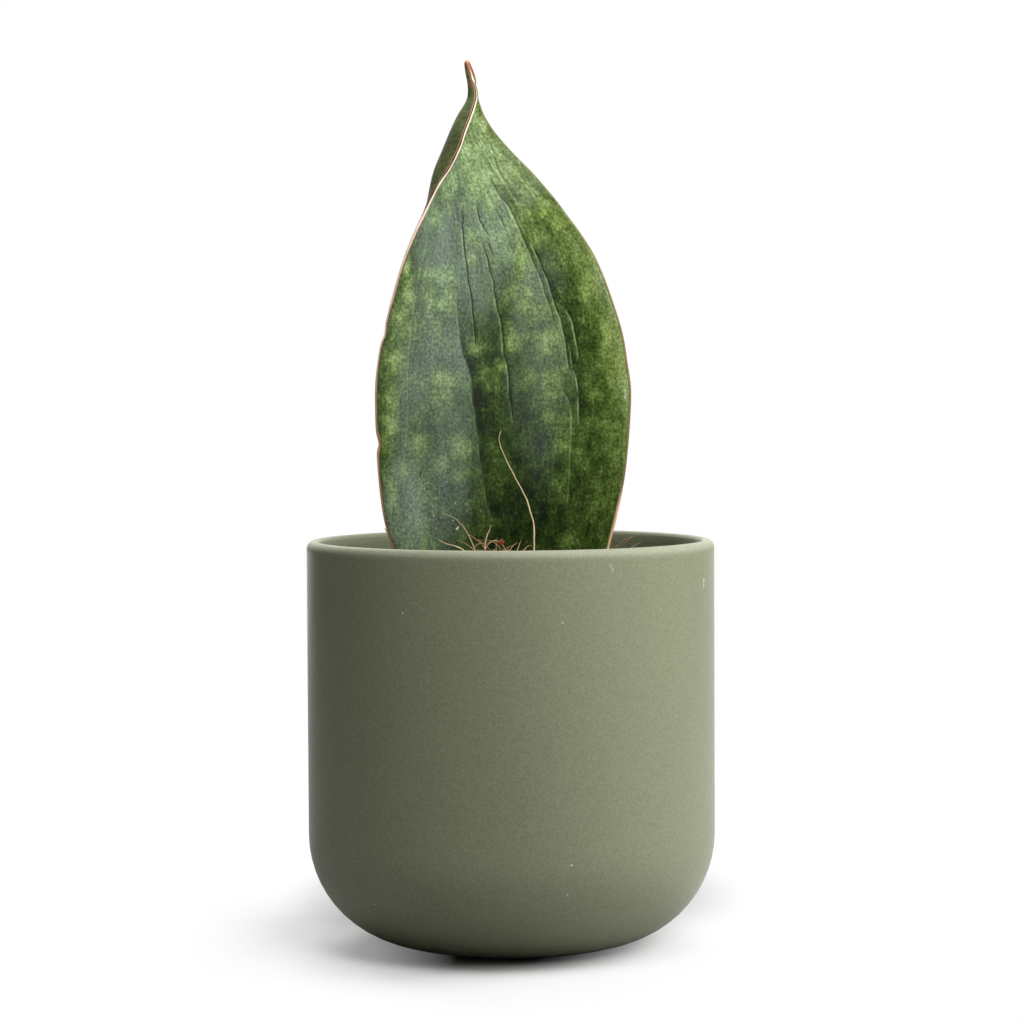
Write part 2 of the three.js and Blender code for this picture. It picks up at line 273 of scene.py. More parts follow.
# height, left margin, two points that the curve is drawn towards, right margin, thickness, edge thickness
LEAF_SECTIONS = np.array([
    (66, -8, 5, -4.5, 6.5, -0.5, 6.5, 3, 5, 8, 4),
    (80, -15, 3.5, -7, 7, 2, 7, 9, 3.5, 7.6, 3),
    (98, -27, 0, -11, 7.5, 6, 8, 21, 0.5, 6.8, 2.2),
    (120, -36.5, -3.5, -9, 9, 13, 9.5, 31, -1.5, 5.8, 1.6),
    (144, -42.2, -6, -2, 9.5, 20, 10.5, 35.4, -2.5, 4.8, 1.4),
    (157, -45.7, -7.5, 0, 9, 24, 10.5, 38.6, -2.5, 4.5, 1.4),
    (175, -47.7, -8.5, 4, 9, 28, 11.5, 42, -2, 4.2, 1.4),
    (200, -48.5, -9, 6, 10, 29, 13, 44, 0, 3.8, 1.4),
    (213, -47.6, -8.8, 2.2, 10.6, 27.4, 13.9, 42.8, 1.3, 3.6, 1.4),
    (228, -44.6, -8.5, -4, 11, 24, 15, 40, 3, 3.3, 1.4),
    (252, -37.6, -8.5, -20, 9, 14, 16.5, 31.3, 6.5, 2.9, 1.4),
    (270, -29.8, -7.5, -32, 9, 0.5, 17.5, 19.5, 10.5, 2.5, 1.3),
    (278, -25.9, -7, -36.5, 7, -4, 17.5, 13.2, 11.5, 2.4, 1.3),
    (284, -22, -6, -38, 6, -8, 17, 8, 12.5, 2.2, 1.3),
    (291, -18.4, -4.5, -34, 6, -12, 17, 1.2, 13, 2.1, 1.2),
    (298, -16, -2, -28.6, 6, -14, 17, -5, 13, 2, 1.2),
    (304, -13.8, 1, -23.7, 6.5, -14, 15, -9, 12.5, 1.9, 1.2),
    (308, -12.6, 4, -19.2, 7, -13.5, 14, -10.7, 12, 1.8, 1.2),
    (311, -12, 6.4, -16.2, 7.6, -13.9, 12.2, -11.6, 11.2, 1.8, 1.2),
    (314, -12.5, 8, -14.3, 8.6, -14.1, 10.4, -12, 10.6, 2.4, 1.4),
    (317, -13.3, 8.8, -13.5, 9.2, -13.5, 9.6, -13.1, 10, 3.4, 1.8),
    (320.5, -14.2, 9, -14.3, 9.3, -14.3, 9.6, -14, 10, 3.1, 1.7),
    (323.6, -15.1, 9.2, -15.1, 9.4, -15.1, 9.6, -14.9, 9.8, 2.3, 1.4),
    (324.8, -15.3, 9.3, -15.3, 9.4, -15.3, 9.6, -15.2, 9.7, 1.5, 1),
])
LEAF_TIP = (-15.5, 9.5, 325.3)
HEIGHT, LINE, THICK, EDGE = 0, slice(1, 9), 9, 10  # the columns of the table
FIRST_PLACE = 0.5  # the solid starts half a section up
LAST_PLACE = len(LEAF_SECTIONS) - 1
FRONT_COLUMNS = 290
BACK_COLUMNS = 90
RIM_POINTS = 6
VEIN_WIDTH = 95  # the veins are counted over the widest part, so that they draw together towards the tip

# Creases of the front face, each from the top down: how dark the painted shade of its line is, how pale the
# painted highlight of the bank on its left, the depth of the fold that it lies in, how far the fold reaches
# to the left and to the right, how much painted shade darkens the skin on its right, and the route as x and z
CREASES = [
    (1.0, 0.15, 0.35, 4, 4, 0.03, [
        (-17.4, 272), (-17.6, 268), (-17.1, 265.5), (-17.5, 263.5), (-16.9, 257), (-16, 250), (-15.4, 244),
        (-14.2, 238), (-13.6, 232), (-13, 226.5), (-12.5, 217)]),
    (0.9, 0.25, 0.2, 3, 3, 0.03, [(-12.5, 273), (-11.5, 268), (-11, 266), (-9, 262.5), (-7.3, 259)]),
    (0.8, 0.2, 0.15, 2, 2, 0, [(-9, 259.5), (-8, 257), (-7, 255), (-5.5, 252.5)]),
    (0.9, 0.3, 0.4, 4, 5, 0.04, [
        (-10.3, 259), (-9.2, 255), (-8, 251.5), (-7.3, 247), (-5.8, 243.5), (-5.6, 240), (-4.7, 234),
        (-3.3, 229), (-2.5, 223), (-2.5, 219), (-1.3, 213.5), (-0.3, 208), (-0.3, 202.5), (0.7, 195.5),
        (1.5, 190)]),
    (0.5, 0.2, 0.1, 2, 2, 0, [(-5.5, 271), (-4.5, 268.5), (-3, 266.5), (-1.3, 262)]),
    (0.5, 0.2, 0.1, 2, 2, 0, [(-3.7, 249), (-2.7, 247.5), (-1, 245)]),
    (0.35, 0.15, 0.45, 2.5, 9, 0.15, [
        (-19.5, 240), (-19, 229), (-18.4, 222), (-17.3, 216.5), (-15.6, 212), (-14.5, 208.5), (-14, 201.5),
        (-13, 194.5), (-12, 186.5), (-11.3, 179.5), (-10, 172), (-9, 164.5), (-8, 159.5), (-6.3, 155)]),
    (0.5, 0.3, 0.3, 3, 7, 0.02, [(-6.5, 295), (-5, 289), (-3.5, 284), (-1, 280), (2, 275.5), (4, 272)]),
    (0.6, 0.4, 0.45, 3, 3, 0.05, [
        (-7.5, 284), (-6, 280), (-4, 276.5), (-2.7, 274.5), (0, 271.5), (2, 267.5), (4, 263), (5, 260),
        (6.4, 257), (7.6, 254.5), (9, 250.7), (10.7, 247.5), (12.2, 243), (13.3, 239.5), (14.4, 236.5),
        (16, 231.5), (16.7, 228)]),
    (0.8, 0.45, 0.8, 2.5, 9, 0.14, [
        (8, 258.5), (11, 252), (12.2, 249), (14.6, 243.7), (15.4, 240.5), (17, 235), (19.3, 229),
        (20.5, 223.5), (21.2, 218.5), (22, 213), (22.7, 209)]),
    (0.6, 0.9, 0.25, 1.5, 2, 0, [(15.4, 243.2), (16.2, 240.8), (17.5, 238.6), (19.3, 236.8), (23, 232)]),
    (0.8, 0.6, 0.4, 2, 6, 0.08, [(16, 239), (18.3, 236), (22, 232), (23.7, 228.5), (24.8, 223),
    (25.7, 218), (26.1, 214)]),
    (0.6, 0.7, 0.5, 2, 8, 0.1, [
        (22.3, 221), (23.2, 215.5), (23.6, 212), (25, 208.5), (25.9, 203), (26, 199.5), (26, 190)]),
    (0.3, 0.35, 0.25, 2, 6, 0.1, [
        (18, 214), (19, 207.5), (19.6, 203.5), (22, 200), (23.4, 194), (23.4, 187.5), (23, 178), (22, 160)]),
    (0.1, 0.3, 0.1, 3, 3, 0, [
        (-29.4, 260), (-33.1, 244), (-35.8, 227.5), (-37, 210), (-37.1, 192), (-38.7, 174)]),
    (0.4, 0.1, 0.1, 2, 2, 0, [(-20.4, 278), (-19.9, 272), (-19.4, 268), (-18.8, 263)]),
    (0.9, 0, 0.05, 1, 1, 0, [(-32.4, 175.4), (-32.1, 174.3), (-33.1, 173.2), (-33, 172), (-34, 171)]),
]
LINE_DEPTH = 0.22  # of a crease whose line is as dark as can be
LINE_WIDTH = 0.35  # how far from a crease its line has faded
CREASE_FADE = 4  # a crease runs out over this length at each end, or over a third of itself if it is short
SHADE_FADE = 24  # the shade beside a crease comes on over this length from its top
CREASE_SIGHT = 1.6  # a crease colours the skin this far from its line
CREASE_WOBBLE = 0.2

# Damage on the left margin: height, depth, reach above and reach below
MARGIN_NOTCHES = [(184, 0.9, 3, 2), (224, 0.65, 3.5, 2)]
NOTCH_REACH = 3  # how far into the blade a notch pulls the skin
# the dried lip of the larger notch: height, half height, how much wider the margin is
CALLUS = (184.5, 3.4, 1.2)

# Places on the front face as x, z, half width and half height
PALE_BLOTCHES = [
    (-12, 304, 2, 3), (-8.5, 302, 2, 3.5), (-11, 291, 2.5, 5), (-16.5, 291, 2, 3.5), (-4.5, 291.5, 4, 4),
    (-17, 287, 3, 4),
    (2, 285, 3.5, 4), (8.5, 278.5, 3, 3.5), (-5, 283, 2, 3.5), (-9, 282, 2, 3.5), (-22, 279, 2.5, 4.5),
    (-12, 278, 3.5, 6.5),
    (-7, 274, 4, 5), (-15, 273, 4, 3.5), (-28, 267, 3, 3.5), (20.5, 265, 3.5, 2.5),
    (-0.5, 264.5, 4, 3.5), (15.5, 271, 3, 2.5), (-14, 259, 4.5, 3.5), (3.5, 259.5, 2.5, 3),
    (9, 257, 2.5, 3), (-5, 257, 5, 5.5),
    (31, 256, 2, 6), (22.5, 254, 3.5, 6), (2.5, 253, 5, 3.5), (-14.5, 252, 2, 2.5), (-38, 250, 2, 4.5),
    (-25.5, 246, 6.5, 3.5), (28, 239, 3, 4), (2, 240, 3.5, 2.5), (-37, 240, 2, 5), (7, 248.5, 5.5, 3.5),
    (19, 236, 2, 3), (7, 239, 3.5, 2.5),
    (-29.5, 237, 2, 5), (-22.5, 237, 2, 5.5), (-26, 235, 3.5, 2.5), (5.5, 235, 3, 2.5),
    (10.5, 231.5, 3.5, 4), (-39.5, 228, 3, 6),
    (-27, 227, 2, 3.5), (36.5, 224, 2.5, 5), (15, 221, 5, 5), (27, 220, 2.5, 3.5), (1, 221, 2.5, 3.5),
    (-13.5, 218, 3, 2.5), (-41.5, 214, 3.5, 5), (41, 213, 2, 3.5), (-4, 212, 3, 2.5), (-24.5, 208, 4, 3.5),
    (-7.5, 208, 3.5, 4.5), (7, 208, 3, 3.5), (15, 205, 5, 6.5), (32, 201, 3, 2.5), (-26, 200, 4, 4),
    (-42.5, 199.5, 2.5, 4), (-43, 191, 2.5, 4), (15, 194, 3, 4), (20, 189.5, 4.5, 4.5),
    (18.5, 182.5, 3.5, 3), (40.5, 182, 2.5, 6),
    (-33.5, 183, 3.5, 3.5), (-19.5, 182, 3.5, 5), (24.5, 179, 4.5, 3.5), (28, 185, 2.5, 3), (-25, 177, 3, 3),
    (-19, 173, 3.5, 3), (19.5, 169, 4.5, 3.5), (-43.5, 166, 2, 5), (33, 161, 3, 4), (35, 154.5, 2.5, 3),
    (38.5, 167, 2, 4), (-40.5, 175, 2.5, 4), (20.5, 148, 3.5, 3),
]
YELLOW_BLOTCHES = [
    (3, 283, 5, 4), (15, 266, 8, 5), (31, 256, 4, 8), (28, 242, 4, 5), (37, 224, 5, 9), (41, 213, 5, 7)]
# Where the wax bloom lies, with a painted sheen on it: x, z, half width and half height
WAX_AND_SHEEN_PLACES = [(-17, 266, 20, 36), (5, 285, 9, 14), (-28, 196, 15, 52), (11, 214, 12, 38),
(-37, 163, 10, 20)]
BLOTCH_TONE = 0.24  # how much lighter the skin is in a pale blotch


def smooth(values, place):
    """The rows of a table at fractional places, on a smooth curve through its rows."""
    last = len(values) - 1
    i = np.minimum(np.floor(place).astype(int), last - 1)
    t = (place - i)[..., None]
    a, b, c, d = (values[np.clip(i + k, 0, last)] for k in (-1, 0, 1, 2))
    return b + 0.5 * t * (c - a + t * (2 * a - 5 * b + 4 * c - d + t * (3 * b - a - 3 * c + d)))


def leaf_sheet(place, across):
    """Points on the leaf's middle sheet. place counts the sections up the leaf, across runs from 0 to 1."""
    row = smooth(LEAF_SECTIONS, np.clip(place, 0, LAST_PLACE))
    line = row[..., LINE].reshape(row.shape[:-1] + (4, 2))
    back = 1 - across
    weights = np.stack([back**3, 3 * across * back**2, 3 * across**2 * back, across**3], -1)
    flat = (weights[..., None] * line).sum(-2)
    return np.concatenate([flat, row[..., HEIGHT : HEIGHT + 1]], -1)


def leaf_out(place, across):
    """The way out of the leaf's front face."""
    step = 1e-3
    rise = leaf_sheet(place + step, across) - leaf_sheet(place - step, across)
    run = leaf_sheet(place, np.minimum(across + step, 1)) - leaf_sheet(place, np.maximum(across - step, 0))
    out = np.cross(run, rise)
    return out / np.linalg.norm(out, axis=-1, keepdims=True)


def leaf_rows():
    """The places of the rows: few in the soil, closer at the notches and towards the spine."""
    heights = np.concatenate([
        np.linspace(74, 136, 12), np.arange(138, 178, 1.4), np.arange(178, 192, 0.5),
        np.arange(192, 219, 1.4), np.arange(219, 227, 0.6), np.arange(227, 299, 1.3),
        np.arange(299, 324.8, 0.6)])
    places = np.linspace(FIRST_PLACE, LAST_PLACE, 4000)
    found = np.interp(heights, smooth(LEAF_SECTIONS, places)[:, HEIGHT], places)
    return np.concatenate([[FIRST_PLACE], found, [LAST_PLACE]])


def notch_depth(height):
    """How far the left margin is drawn in at each height."""
    depth = np.zeros_like(height)
    for centre, most, above, below in MARGIN_NOTCHES:
        away = (height - centre) / np.where(height > centre, above, below)
        depth += most * np.exp(-(away**2))
    return depth


def leaf_columns(places, count):
    """For each row, where the columns of one face lie across, their distance from the left margin,
    and its width."""
    fine = np.linspace(0, 1, 500)
    sheet = leaf_sheet(np.broadcast_to(places[:, None], (len(places), len(fine))), fine[None, :])
    lengths = np.linalg.norm(np.diff(sheet, axis=1), axis=-1).cumsum(1)
    lengths = np.concatenate([np.zeros((len(places), 1)), lengths], 1)
    k = np.arange(count + 1) / count
    shares = 0.75 * k + 0.25 * (0.5 - 0.5 * np.cos(np.pi * k))
    depth = notch_depth(sheet[:, 0, 2])
    across = np.empty((len(places), count + 1))
    reach = np.empty_like(across)
    for j, length in enumerate(lengths):
        reach[j] = shares * length[-1]
        reach[j] += depth[j] * np.exp(-reach[j] / NOTCH_REACH) * (1 - shares)
        across[j] = np.interp(reach[j], length, fine)
    return across, reach, lengths[:, -1:]


def ripple(x, z, width, length, seed):
    """A smooth random wave over the blade, from about -1 to 1, long along the veins."""
    flat = [noise.noise(Vector((a / width, b / length, seed))) for a, b in zip(x.ravel(), z.ravel())]
    return 2 * np.array(flat).reshape(x.shape)


def crease_marks(x, z):
    """Of the creases at points of the front face: how deep they are, how much painted shade they put on the
    skin, the distance to the nearest, and how dark the painted shade of its line and how pale the painted
    highlight of its bank is."""
    sunk = np.zeros_like(x)
    painted_fold_shade = np.zeros_like(x)
    nearest = np.full_like(x, CREASE_SIGHT)
    dark = np.zeros_like(x)
    pale = np.zeros_like(x)
    for number, (line, bank_highlight, fold, left, right, painted_shade_beside, route) in enumerate(CREASES):
        offsets, heights = np.array(route, float)[::-1].T
        level = z[:, :1]
        wobble = CREASE_WOBBLE * ripple(level, level, 1e9, 2.6, number)
        slope = np.interp(z, heights, np.gradient(offsets, heights))
        away = (x - np.interp(z, heights, offsets) - wobble) / np.sqrt(1 + slope**2)
        fade = min(CREASE_FADE, (heights[-1] - heights[0]) / 3)
        inside = np.clip((z - heights[0]) / fade, 0, 1) * np.clip((heights[-1] - z) / fade, 0, 1)
        reach = np.where(away < 0, left, right)
        near = np.abs(away)
        sunk += inside * (line * LINE_DEPTH * np.exp(-near / LINE_WIDTH) + fold * np.exp(-near / reach))
        shaded = inside * np.clip((heights[-1] - z) / min(SHADE_FADE, fade * 6), 0, 1)
        soft = 0.6 + 2.4 * rise(z, 205, 170)
        painted_fold_shade += shaded * painted_shade_beside * np.exp(-near / reach) * np.clip(0.5 + away / soft, 0, 1)
        seen = inside * np.clip((CREASE_SIGHT - near) / 0.5, 0, 1)
        closer = (near < np.abs(nearest)) & (inside > 0)
        nearest = np.where(closer, away, nearest)
        dark = np.where(closer, seen * line, dark)
        pale = np.where(closer, seen * bank_highlight, pale)
    return sunk, painted_fold_shade, nearest, dark, pale


def soft_spots(x, z, spots, firmness=2):
    """How well each point lies inside the nearest of some soft ovals: 1 in the middle, 0.5 on the outline."""
    most = np.zeros_like(x)
    for centre_x, centre_z, half_width, half_height in spots:
        away = ((x - centre_x) / half_width) ** 2 + ((z - centre_z) / half_height) ** 2
        most = np.maximum(most, 1 / (1 + away**firmness))
    return most


def rise(values, low, high):
    """From 0 at low to 1 at high, gently at both ends."""
    share = np.clip((values - low) / (high - low), 0, 1)
    return share * share * (3 - 2 * share)


def front_tone(x, z, reach, from_right):
    """How light the front face is, from 0 to 1: paler towards the tip and the margins, darkest low in the
    middle, with painted shade and painted sheen in places."""
    tone = 0.3 + 0.28 * rise(z, 250, 300) + 0.02 * rise(x, 8, 18) + 0.07 * np.exp(-reach / 6)
    # lighter along the right margin: a painted sheen where the margin curls towards the light
    tone += 0.58 * np.exp(-from_right / 5.5) * rise(z, 165, 215) * rise(z, 270, 240)
    # painted reflection: lighter low on the left, where the blade faces the light
    tone += 0.2 * np.exp(-(((x + 34) / 6) ** 2)) * rise(z, 185, 165)
    tone += 0.17 * np.exp(-(((x + 5) / 7) ** 2)) * rise(z, 198, 175) * rise(z, 146, 174)
    tone -= 0.05 * np.exp(-(((x + 9) / 6) ** 2)) * rise(z, 240, 222) * rise(z, 190, 210)
    tone += 0.04 * rise(x, -4, 6) * rise(z, 250, 270)
    tone += 0.03 * np.exp(-(((x - 8) / 9) ** 2)) * np.exp(-(((z - 228) / 14) ** 2))
    tone -= 0.12 * rise(x, -3, -20) * rise(z, 235, 275)
    tone += 0.03 * rise(x, 22, 30) * rise(z, 195, 170)
    # painted shade: darker within a few millimetres of the left margin, where the blade curves away from the
    # light
    tone -= 0.11 * np.exp(-reach / 2) * rise(z, 245, 215)
    tone -= 0.11 * np.exp(-(((x - 4) / 22) ** 2)) * rise(z, 225, 180)
    tone -= 0.05 * rise(x, -8, 0) * rise(z, 185, 150)
    blotchy = BLOTCH_TONE * (1 - 0.5 * rise(x, 10, 24)) * (1 - 0.2 * rise(z, 262, 275))
    blotchy *= 1 - 0.4 * np.exp(-(((x - 2) / 10) ** 2)) * rise(z, 180, 200)
    return tone + blotchy * (soft_spots(x, z, PALE_BLOTCHES) - 0.25)


def leaf_face(places, count, side):
    """One face of the blade: its points, and the four values that the skin's markings are drawn by."""
    across, reach, length = leaf_columns(places, count)
    place = np.broadcast_to(places[:, None], across.shape)
    row = smooth(LEAF_SECTIONS, place)
    edge = row[..., EDGE] / 2
    half = edge + (row[..., THICK] / 2 - edge) * 4 * across * (1 - across)
    middle = leaf_sheet(place, across)
    x, z = middle[..., 0], middle[..., 2]
    from_right = length - reach
    vein = (reach / length - 0.5) * VEIN_WIDTH
    ends = np.clip((302 - z) / 10, 0, 1)
    inner = np.clip(np.minimum(reach, from_right) / 3, 0, 1) * ends
    relief = 0.06 * ripple(vein, z, 3.4, 60, side) + 0.14 * ripple(vein, z, 9, 90, side + 5)
    level = np.zeros_like(x)
    if side > 0:
        sunk, painted_fold_shade, nearest, dark, pale = crease_marks(x, z)
        relief += 0.3 * ripple(vein, z, 24, 36, 9) - sunk
        centre, half_height, wider = CALLUS
        callus = wider * np.exp(-(((z - centre) / half_height) ** 2))
        margins = np.stack([reach - callus, from_right, vein], -1)
        crease = np.stack([nearest, dark * ends, pale * ends], -1)
        # the wax bloom carries a painted sheen: it thins in the painted shade beside the folds, right of the
        # middle low down, around 190 mm and towards the tip, and grows low on the left as a painted
        # reflection
        wax_and_sheen = soft_spots(x, z, WAX_AND_SHEEN_PLACES, 5) * np.clip(1.1 - 7 * painted_fold_shade, 0, 1)
        wax_and_sheen *= 1 - 0.5 * rise(x, -8, 0) * rise(z, 245, 232)
        wax_and_sheen *= 1 + 0.45 * np.exp(-(((x + 34) / 7) ** 2)) * rise(z, 185, 168)
        wax_and_sheen *= 1 - 0.25 * np.exp(-(((z - 190) / 18) ** 2)) - 0.35 * rise(z, 262, 282)
        tone = front_tone(x, z, reach, from_right) - painted_fold_shade
        zones = np.stack([wax_and_sheen, tone, soft_spots(x, z, YELLOW_BLOTCHES)], -1)
    else:
        round_rim = np.pi * edge
        margins = np.stack([-round_rim - reach, -round_rim - from_right, vein], -1)
        crease = np.stack([level + CREASE_SIGHT, level, level], -1)
        zones = np.stack([level + 0.2, 0.36 + 0.12 * ripple(reach, z, 9, 8, 3), level], -1)
    points = middle + leaf_out(place, across) * (side * (half + relief * inner))[..., None]
    skin = np.stack([(reach - from_right) / 2, z, level + side], -1)
    return points, skin, margins, crease, zones


def leaf_rim(places, margin, start, length):
    """The rounded edge of the blade at one margin, from the front face to the back."""
    place = places[:, None]
    inside = abs(margin - 0.02)
    edge = smooth(LEAF_SECTIONS, place)[..., EDGE : EDGE + 1] / 2
    point = leaf_sheet(place, start)
    outward = point - leaf_sheet(place, np.full_like(place, inside))
    outward[..., 2] = 0
    outward /= np.linalg.norm(outward, axis=-1, keepdims=True)
    turn = np.pi * np.arange(1, RIM_POINTS + 1)[None, :, None] / (RIM_POINTS + 1)
    points = point + edge * (np.cos(turn) * leaf_out(place, start) + np.sin(turn) * outward)
    z = points[..., 2]
    level = np.zeros_like(z)
    round_edge = -(edge * turn)[..., 0]
    far = level + length
    left, right = (round_edge, far) if margin == 0 else (far, round_edge)
    skin = np.stack([(margin - 0.5) * far, z, np.cos(turn)[..., 0] + level], -1)
    margins = np.stack([left, right, level + (margin - 0.5) * VEIN_WIDTH], -1)
    crease = np.stack([level + CREASE_SIGHT, level, level], -1)
    return points, skin, margins, crease, np.stack([level, level + 0.4, level], -1)


# the values that each point of the leaf keeps for its skin
LEAF_MARKS = ["skin", "margins", "crease", "zones"]
GREENS = ["#13200b", "#2b3e12", "#475d25", "#6b833f", "#8ea662", "#b3ca8a", "#d5e6b2"]  # from dark to light
DUSTY_PLACE = (-25, 163, 1)  # on the front face, across the blade and up
CHIP_PLACE = (1.3, 200.5, 0)  # a scar, by its distance from the right margin and its height

# Colours of the margins by the distance round the rim from the front face, in millimetres. Each band of
# height
# has its own stops: distance, colour, cover
RIM_FAR = -3.2
RIM_NEAR = 1.6
LEFT_HIGH = [(-1.95, "#2f2a1a", 0), (-1.8, "#42260f", 1), (-1.35, "#4f2c14", 1), (-1.2, "#fdecd4", 1),
             (-0.5, "#fbe2c6", 1), (-0.15, "#cf9c74", 1), (0.1, "#a0704c", 0)]
LEFT_MIDDLE = [(-2.3, "#6b4a30", 0), (-2.0, "#d0a688", 1), (-1.3, "#fdeadb", 1), (-0.6, "#f6d8c2", 1),
               (-0.35, "#9a6c4c", 0.95), (-0.1, "#64462a", 0.9), (0.15, "#5b4a26", 0)]
LEFT_LOW = [(-2.3, "#6b4a30", 0), (-2.0, "#a87a56", 1), (-1.1, "#b98460", 1), (-0.65, "#f4d0b0", 1),
            (-0.4, "#c4936e", 1), (-0.15, "#6a4c2e", 0.9), (0.3, "#4c4a1c", 0)]
RIGHT_HIGH = [(-2.2, "#6b4a30", 0), (-1.9, "#8a6a4e", 1), (-1.0, "#84664a", 1), (-0.65, "#7b6c42", 0.8),
              (-0.3, "#7c8a4c", 0)]
RIGHT_LOW = [(-2.2, "#6b4a30", 0), (-1.8, "#b07a55", 1), (-1.1, "#f2cba8", 1), (-0.4, "#d6aa80", 1),
             (0.1, "#7a6238", 0)]


def waxy_leaf_skin():
    """Thick leaf with a waxy skin: dark green, clouded with pale frayed blotches, under a thin greyish bloom
    of wax with a painted sheen, both missing on the right and low in the middle; painted shade lies in the
    creases and beside the folds, and a horny margin dries to cream and brown."""
    material, t = new_material("waxy_leaf_skin")
    marks = [add(t, "ShaderNodeAttribute", attribute_name=name).outputs["Vector"] for name in LEAF_MARKS]
    parts = [add(t, "ShaderNodeSeparateXYZ", [mark]).outputs for mark in marks]
    (_, height, face), (left, right, vein), (off_crease, painted_crease_shade, painted_bank_highlight), (wax_and_sheen_zone, tone_and_painted_light,
    yellow) = parts
    skin = marks[0]
    along_veins = add(t, "ShaderNodeCombineXYZ", [vein, height, face])

    # noise, by its width and length in millimetres, its detail and its roughness
    noises = []
    for place, width, length, detail, roughness in [
        (skin, 0.95, 1.15, 2, 0.5),  # grain of the skin's cells
        (along_veins, 1.2, 40, 2, 0.5),  # stripes of the veins, which draw together towards the tip
        (skin, 6, 7.5, 4, 0.68),  # clouds
        (along_veins, 1.8, 7, 2, 0.5),  # the frayed ends of the blotches
        (along_veins, 9, 30, 4, 0.5),  # where the wax is rubbed thin
    ]:
        stretched = add(t, "ShaderNodeVectorMath", [place, (1 / width, 1 / length, 3)], operation="MULTIPLY")
        sizes = {"Vector": stretched, "Scale": 1.0, "Detail": detail, "Roughness": roughness}
        noises.append(add(t, "ShaderNodeTexNoise", sizes))
    grain, veins, clouds, fray, rubbed = noises

    # how light each place is: the blotches with the painted shade and painted highlights carried in the tone,
    # clouded, frayed along the veins and broken up into specks
    clouded = add(t, "ShaderNodeMath", [clouds, 0.8, tone_and_painted_light], operation="MULTIPLY_ADD")
    streaky = add(t, "ShaderNodeMapRange", [height, 230, 290, 0.22, 0.5])
    centred_fray = add(t, "ShaderNodeMath", [fray, 0.5], operation="SUBTRACT")
    frayed = add(t, "ShaderNodeMath", [centred_fray, streaky, clouded], operation="MULTIPLY_ADD")
    specked = add(t, "ShaderNodeMath", [grain, 0.25, frayed], operation="MULTIPLY_ADD")
    lightness = add(t, "ShaderNodeMath", [specked, 0.525], operation="SUBTRACT")
    greens = [((number + 0.001) / len(GREENS), linear(green)) for number, green in enumerate(GREENS)]
    colour = add(t, "ShaderNodeValToRGB", [lightness], greens).outputs["Color"]

    # the gold of the yellow blotches, the duller back, darkened also by painted shade, and a bloom of wax
    # with a painted sheen, rubbed thin in long patches
    gold = add(t, "ShaderNodeMapRange", [lightness, 0.4, 0.8, 0, 0.6])
    golden = add(t, "ShaderNodeMath", [gold, yellow], operation="MULTIPLY")
    duller_back_and_shade = add(t, "ShaderNodeMapRange", [face, 0.2, -0.6, 0, 0.72])
    film = add(t, "ShaderNodeMapRange", [rubbed, 0.3, 0.7, 0.25, 0.6])
    wax_and_sheen = add(t, "ShaderNodeMath", [film, wax_and_sheen_zone], operation="MULTIPLY")
    for share, tint in [(golden, "#a0b53c"), (duller_back_and_shade, "#50522c"), (wax_and_sheen, "#84948a")]:
        colour = add(t, "ShaderNodeMix", [share, colour, linear(tint)], data_type="RGBA")
    texture = add(t, "ShaderNodeMath", [grain, 1.8, -0.1], operation="MULTIPLY_ADD")
    tone = add(t, "ShaderNodeMath", [veins, 0.4, texture], operation="MULTIPLY_ADD")
    colour = add(t, "ShaderNodeVectorMath", [colour, tone], operation="SCALE")

    # creases: a dark line of painted shade, with a broken pale bank of painted highlight on its left
    jitter = add(t, "ShaderNodeMath", [grain, 0.3, -0.15], operation="MULTIPLY_ADD")
    off = add(t, "ShaderNodeMath", [off_crease, jitter], operation="ADD")
    aside = add(t, "ShaderNodeMath", [off], operation="ABSOLUTE")
    line = add(t, "ShaderNodeMapRange", [aside, 0.42, 0.12, 0, 0.9])
    dark = add(t, "ShaderNodeMath", [line, painted_crease_shade], operation="MULTIPLY")
    off_bank = add(t, "ShaderNodeMath", [off, 0.65], operation="ADD")
    bank_aside = add(t, "ShaderNodeMath", [off_bank], operation="ABSOLUTE")
    bank_highlight = add(t, "ShaderNodeMapRange", [bank_aside, 0.34, 0.1])
    broken = add(t, "ShaderNodeMapRange", [fray, 0.36, 0.6])
    whole_bank = add(t, "ShaderNodeMath", [bank_highlight, painted_bank_highlight], operation="MULTIPLY")
    pale = add(t, "ShaderNodeMath", [whole_bank, broken], operation="MULTIPLY")

    # dust and splashes that dried on the front face, and a scar at the right margin
    speck_place = add(t, "ShaderNodeVectorMath", [skin, (1 / 2.2, 1 / 2.8, 3)], operation="MULTIPLY")
    specks = add(t, "ShaderNodeTexVoronoi", {"Vector": speck_place, "Scale": 1.0})
    speck = add(t, "ShaderNodeMapRange", [specks, 0.15, 0.06])
    from_dust = add(t, "ShaderNodeVectorMath", [skin, DUSTY_PLACE], operation="DISTANCE")
    dust = add(t, "ShaderNodeMapRange", [from_dust, 20, 8])
    front = add(t, "ShaderNodeMapRange", [face, -0.2, 0.2])
    front_dust = add(t, "ShaderNodeMath", [front, dust], operation="MULTIPLY")
    dusted = add(t, "ShaderNodeMath", [speck, front_dust], operation="MULTIPLY")
    by_margin = add(t, "ShaderNodeCombineXYZ", [right, height])
    from_chip = add(t, "ShaderNodeVectorMath", [by_margin, CHIP_PLACE], operation="DISTANCE")
    chip = add(t, "ShaderNodeMapRange", [from_chip, 0.8, 0.5])
    # the painted shade of the crease lines, the painted highlight of their banks, the dust and the scar
    for share, tint in [(dark, "#12200a"), (pale, "#a9bd8a"), (dusted, "#c3d2c4"), (chip, "#efe6cf")]:
        colour = add(t, "ShaderNodeMix", [share, colour, linear(tint)], data_type="RGBA")

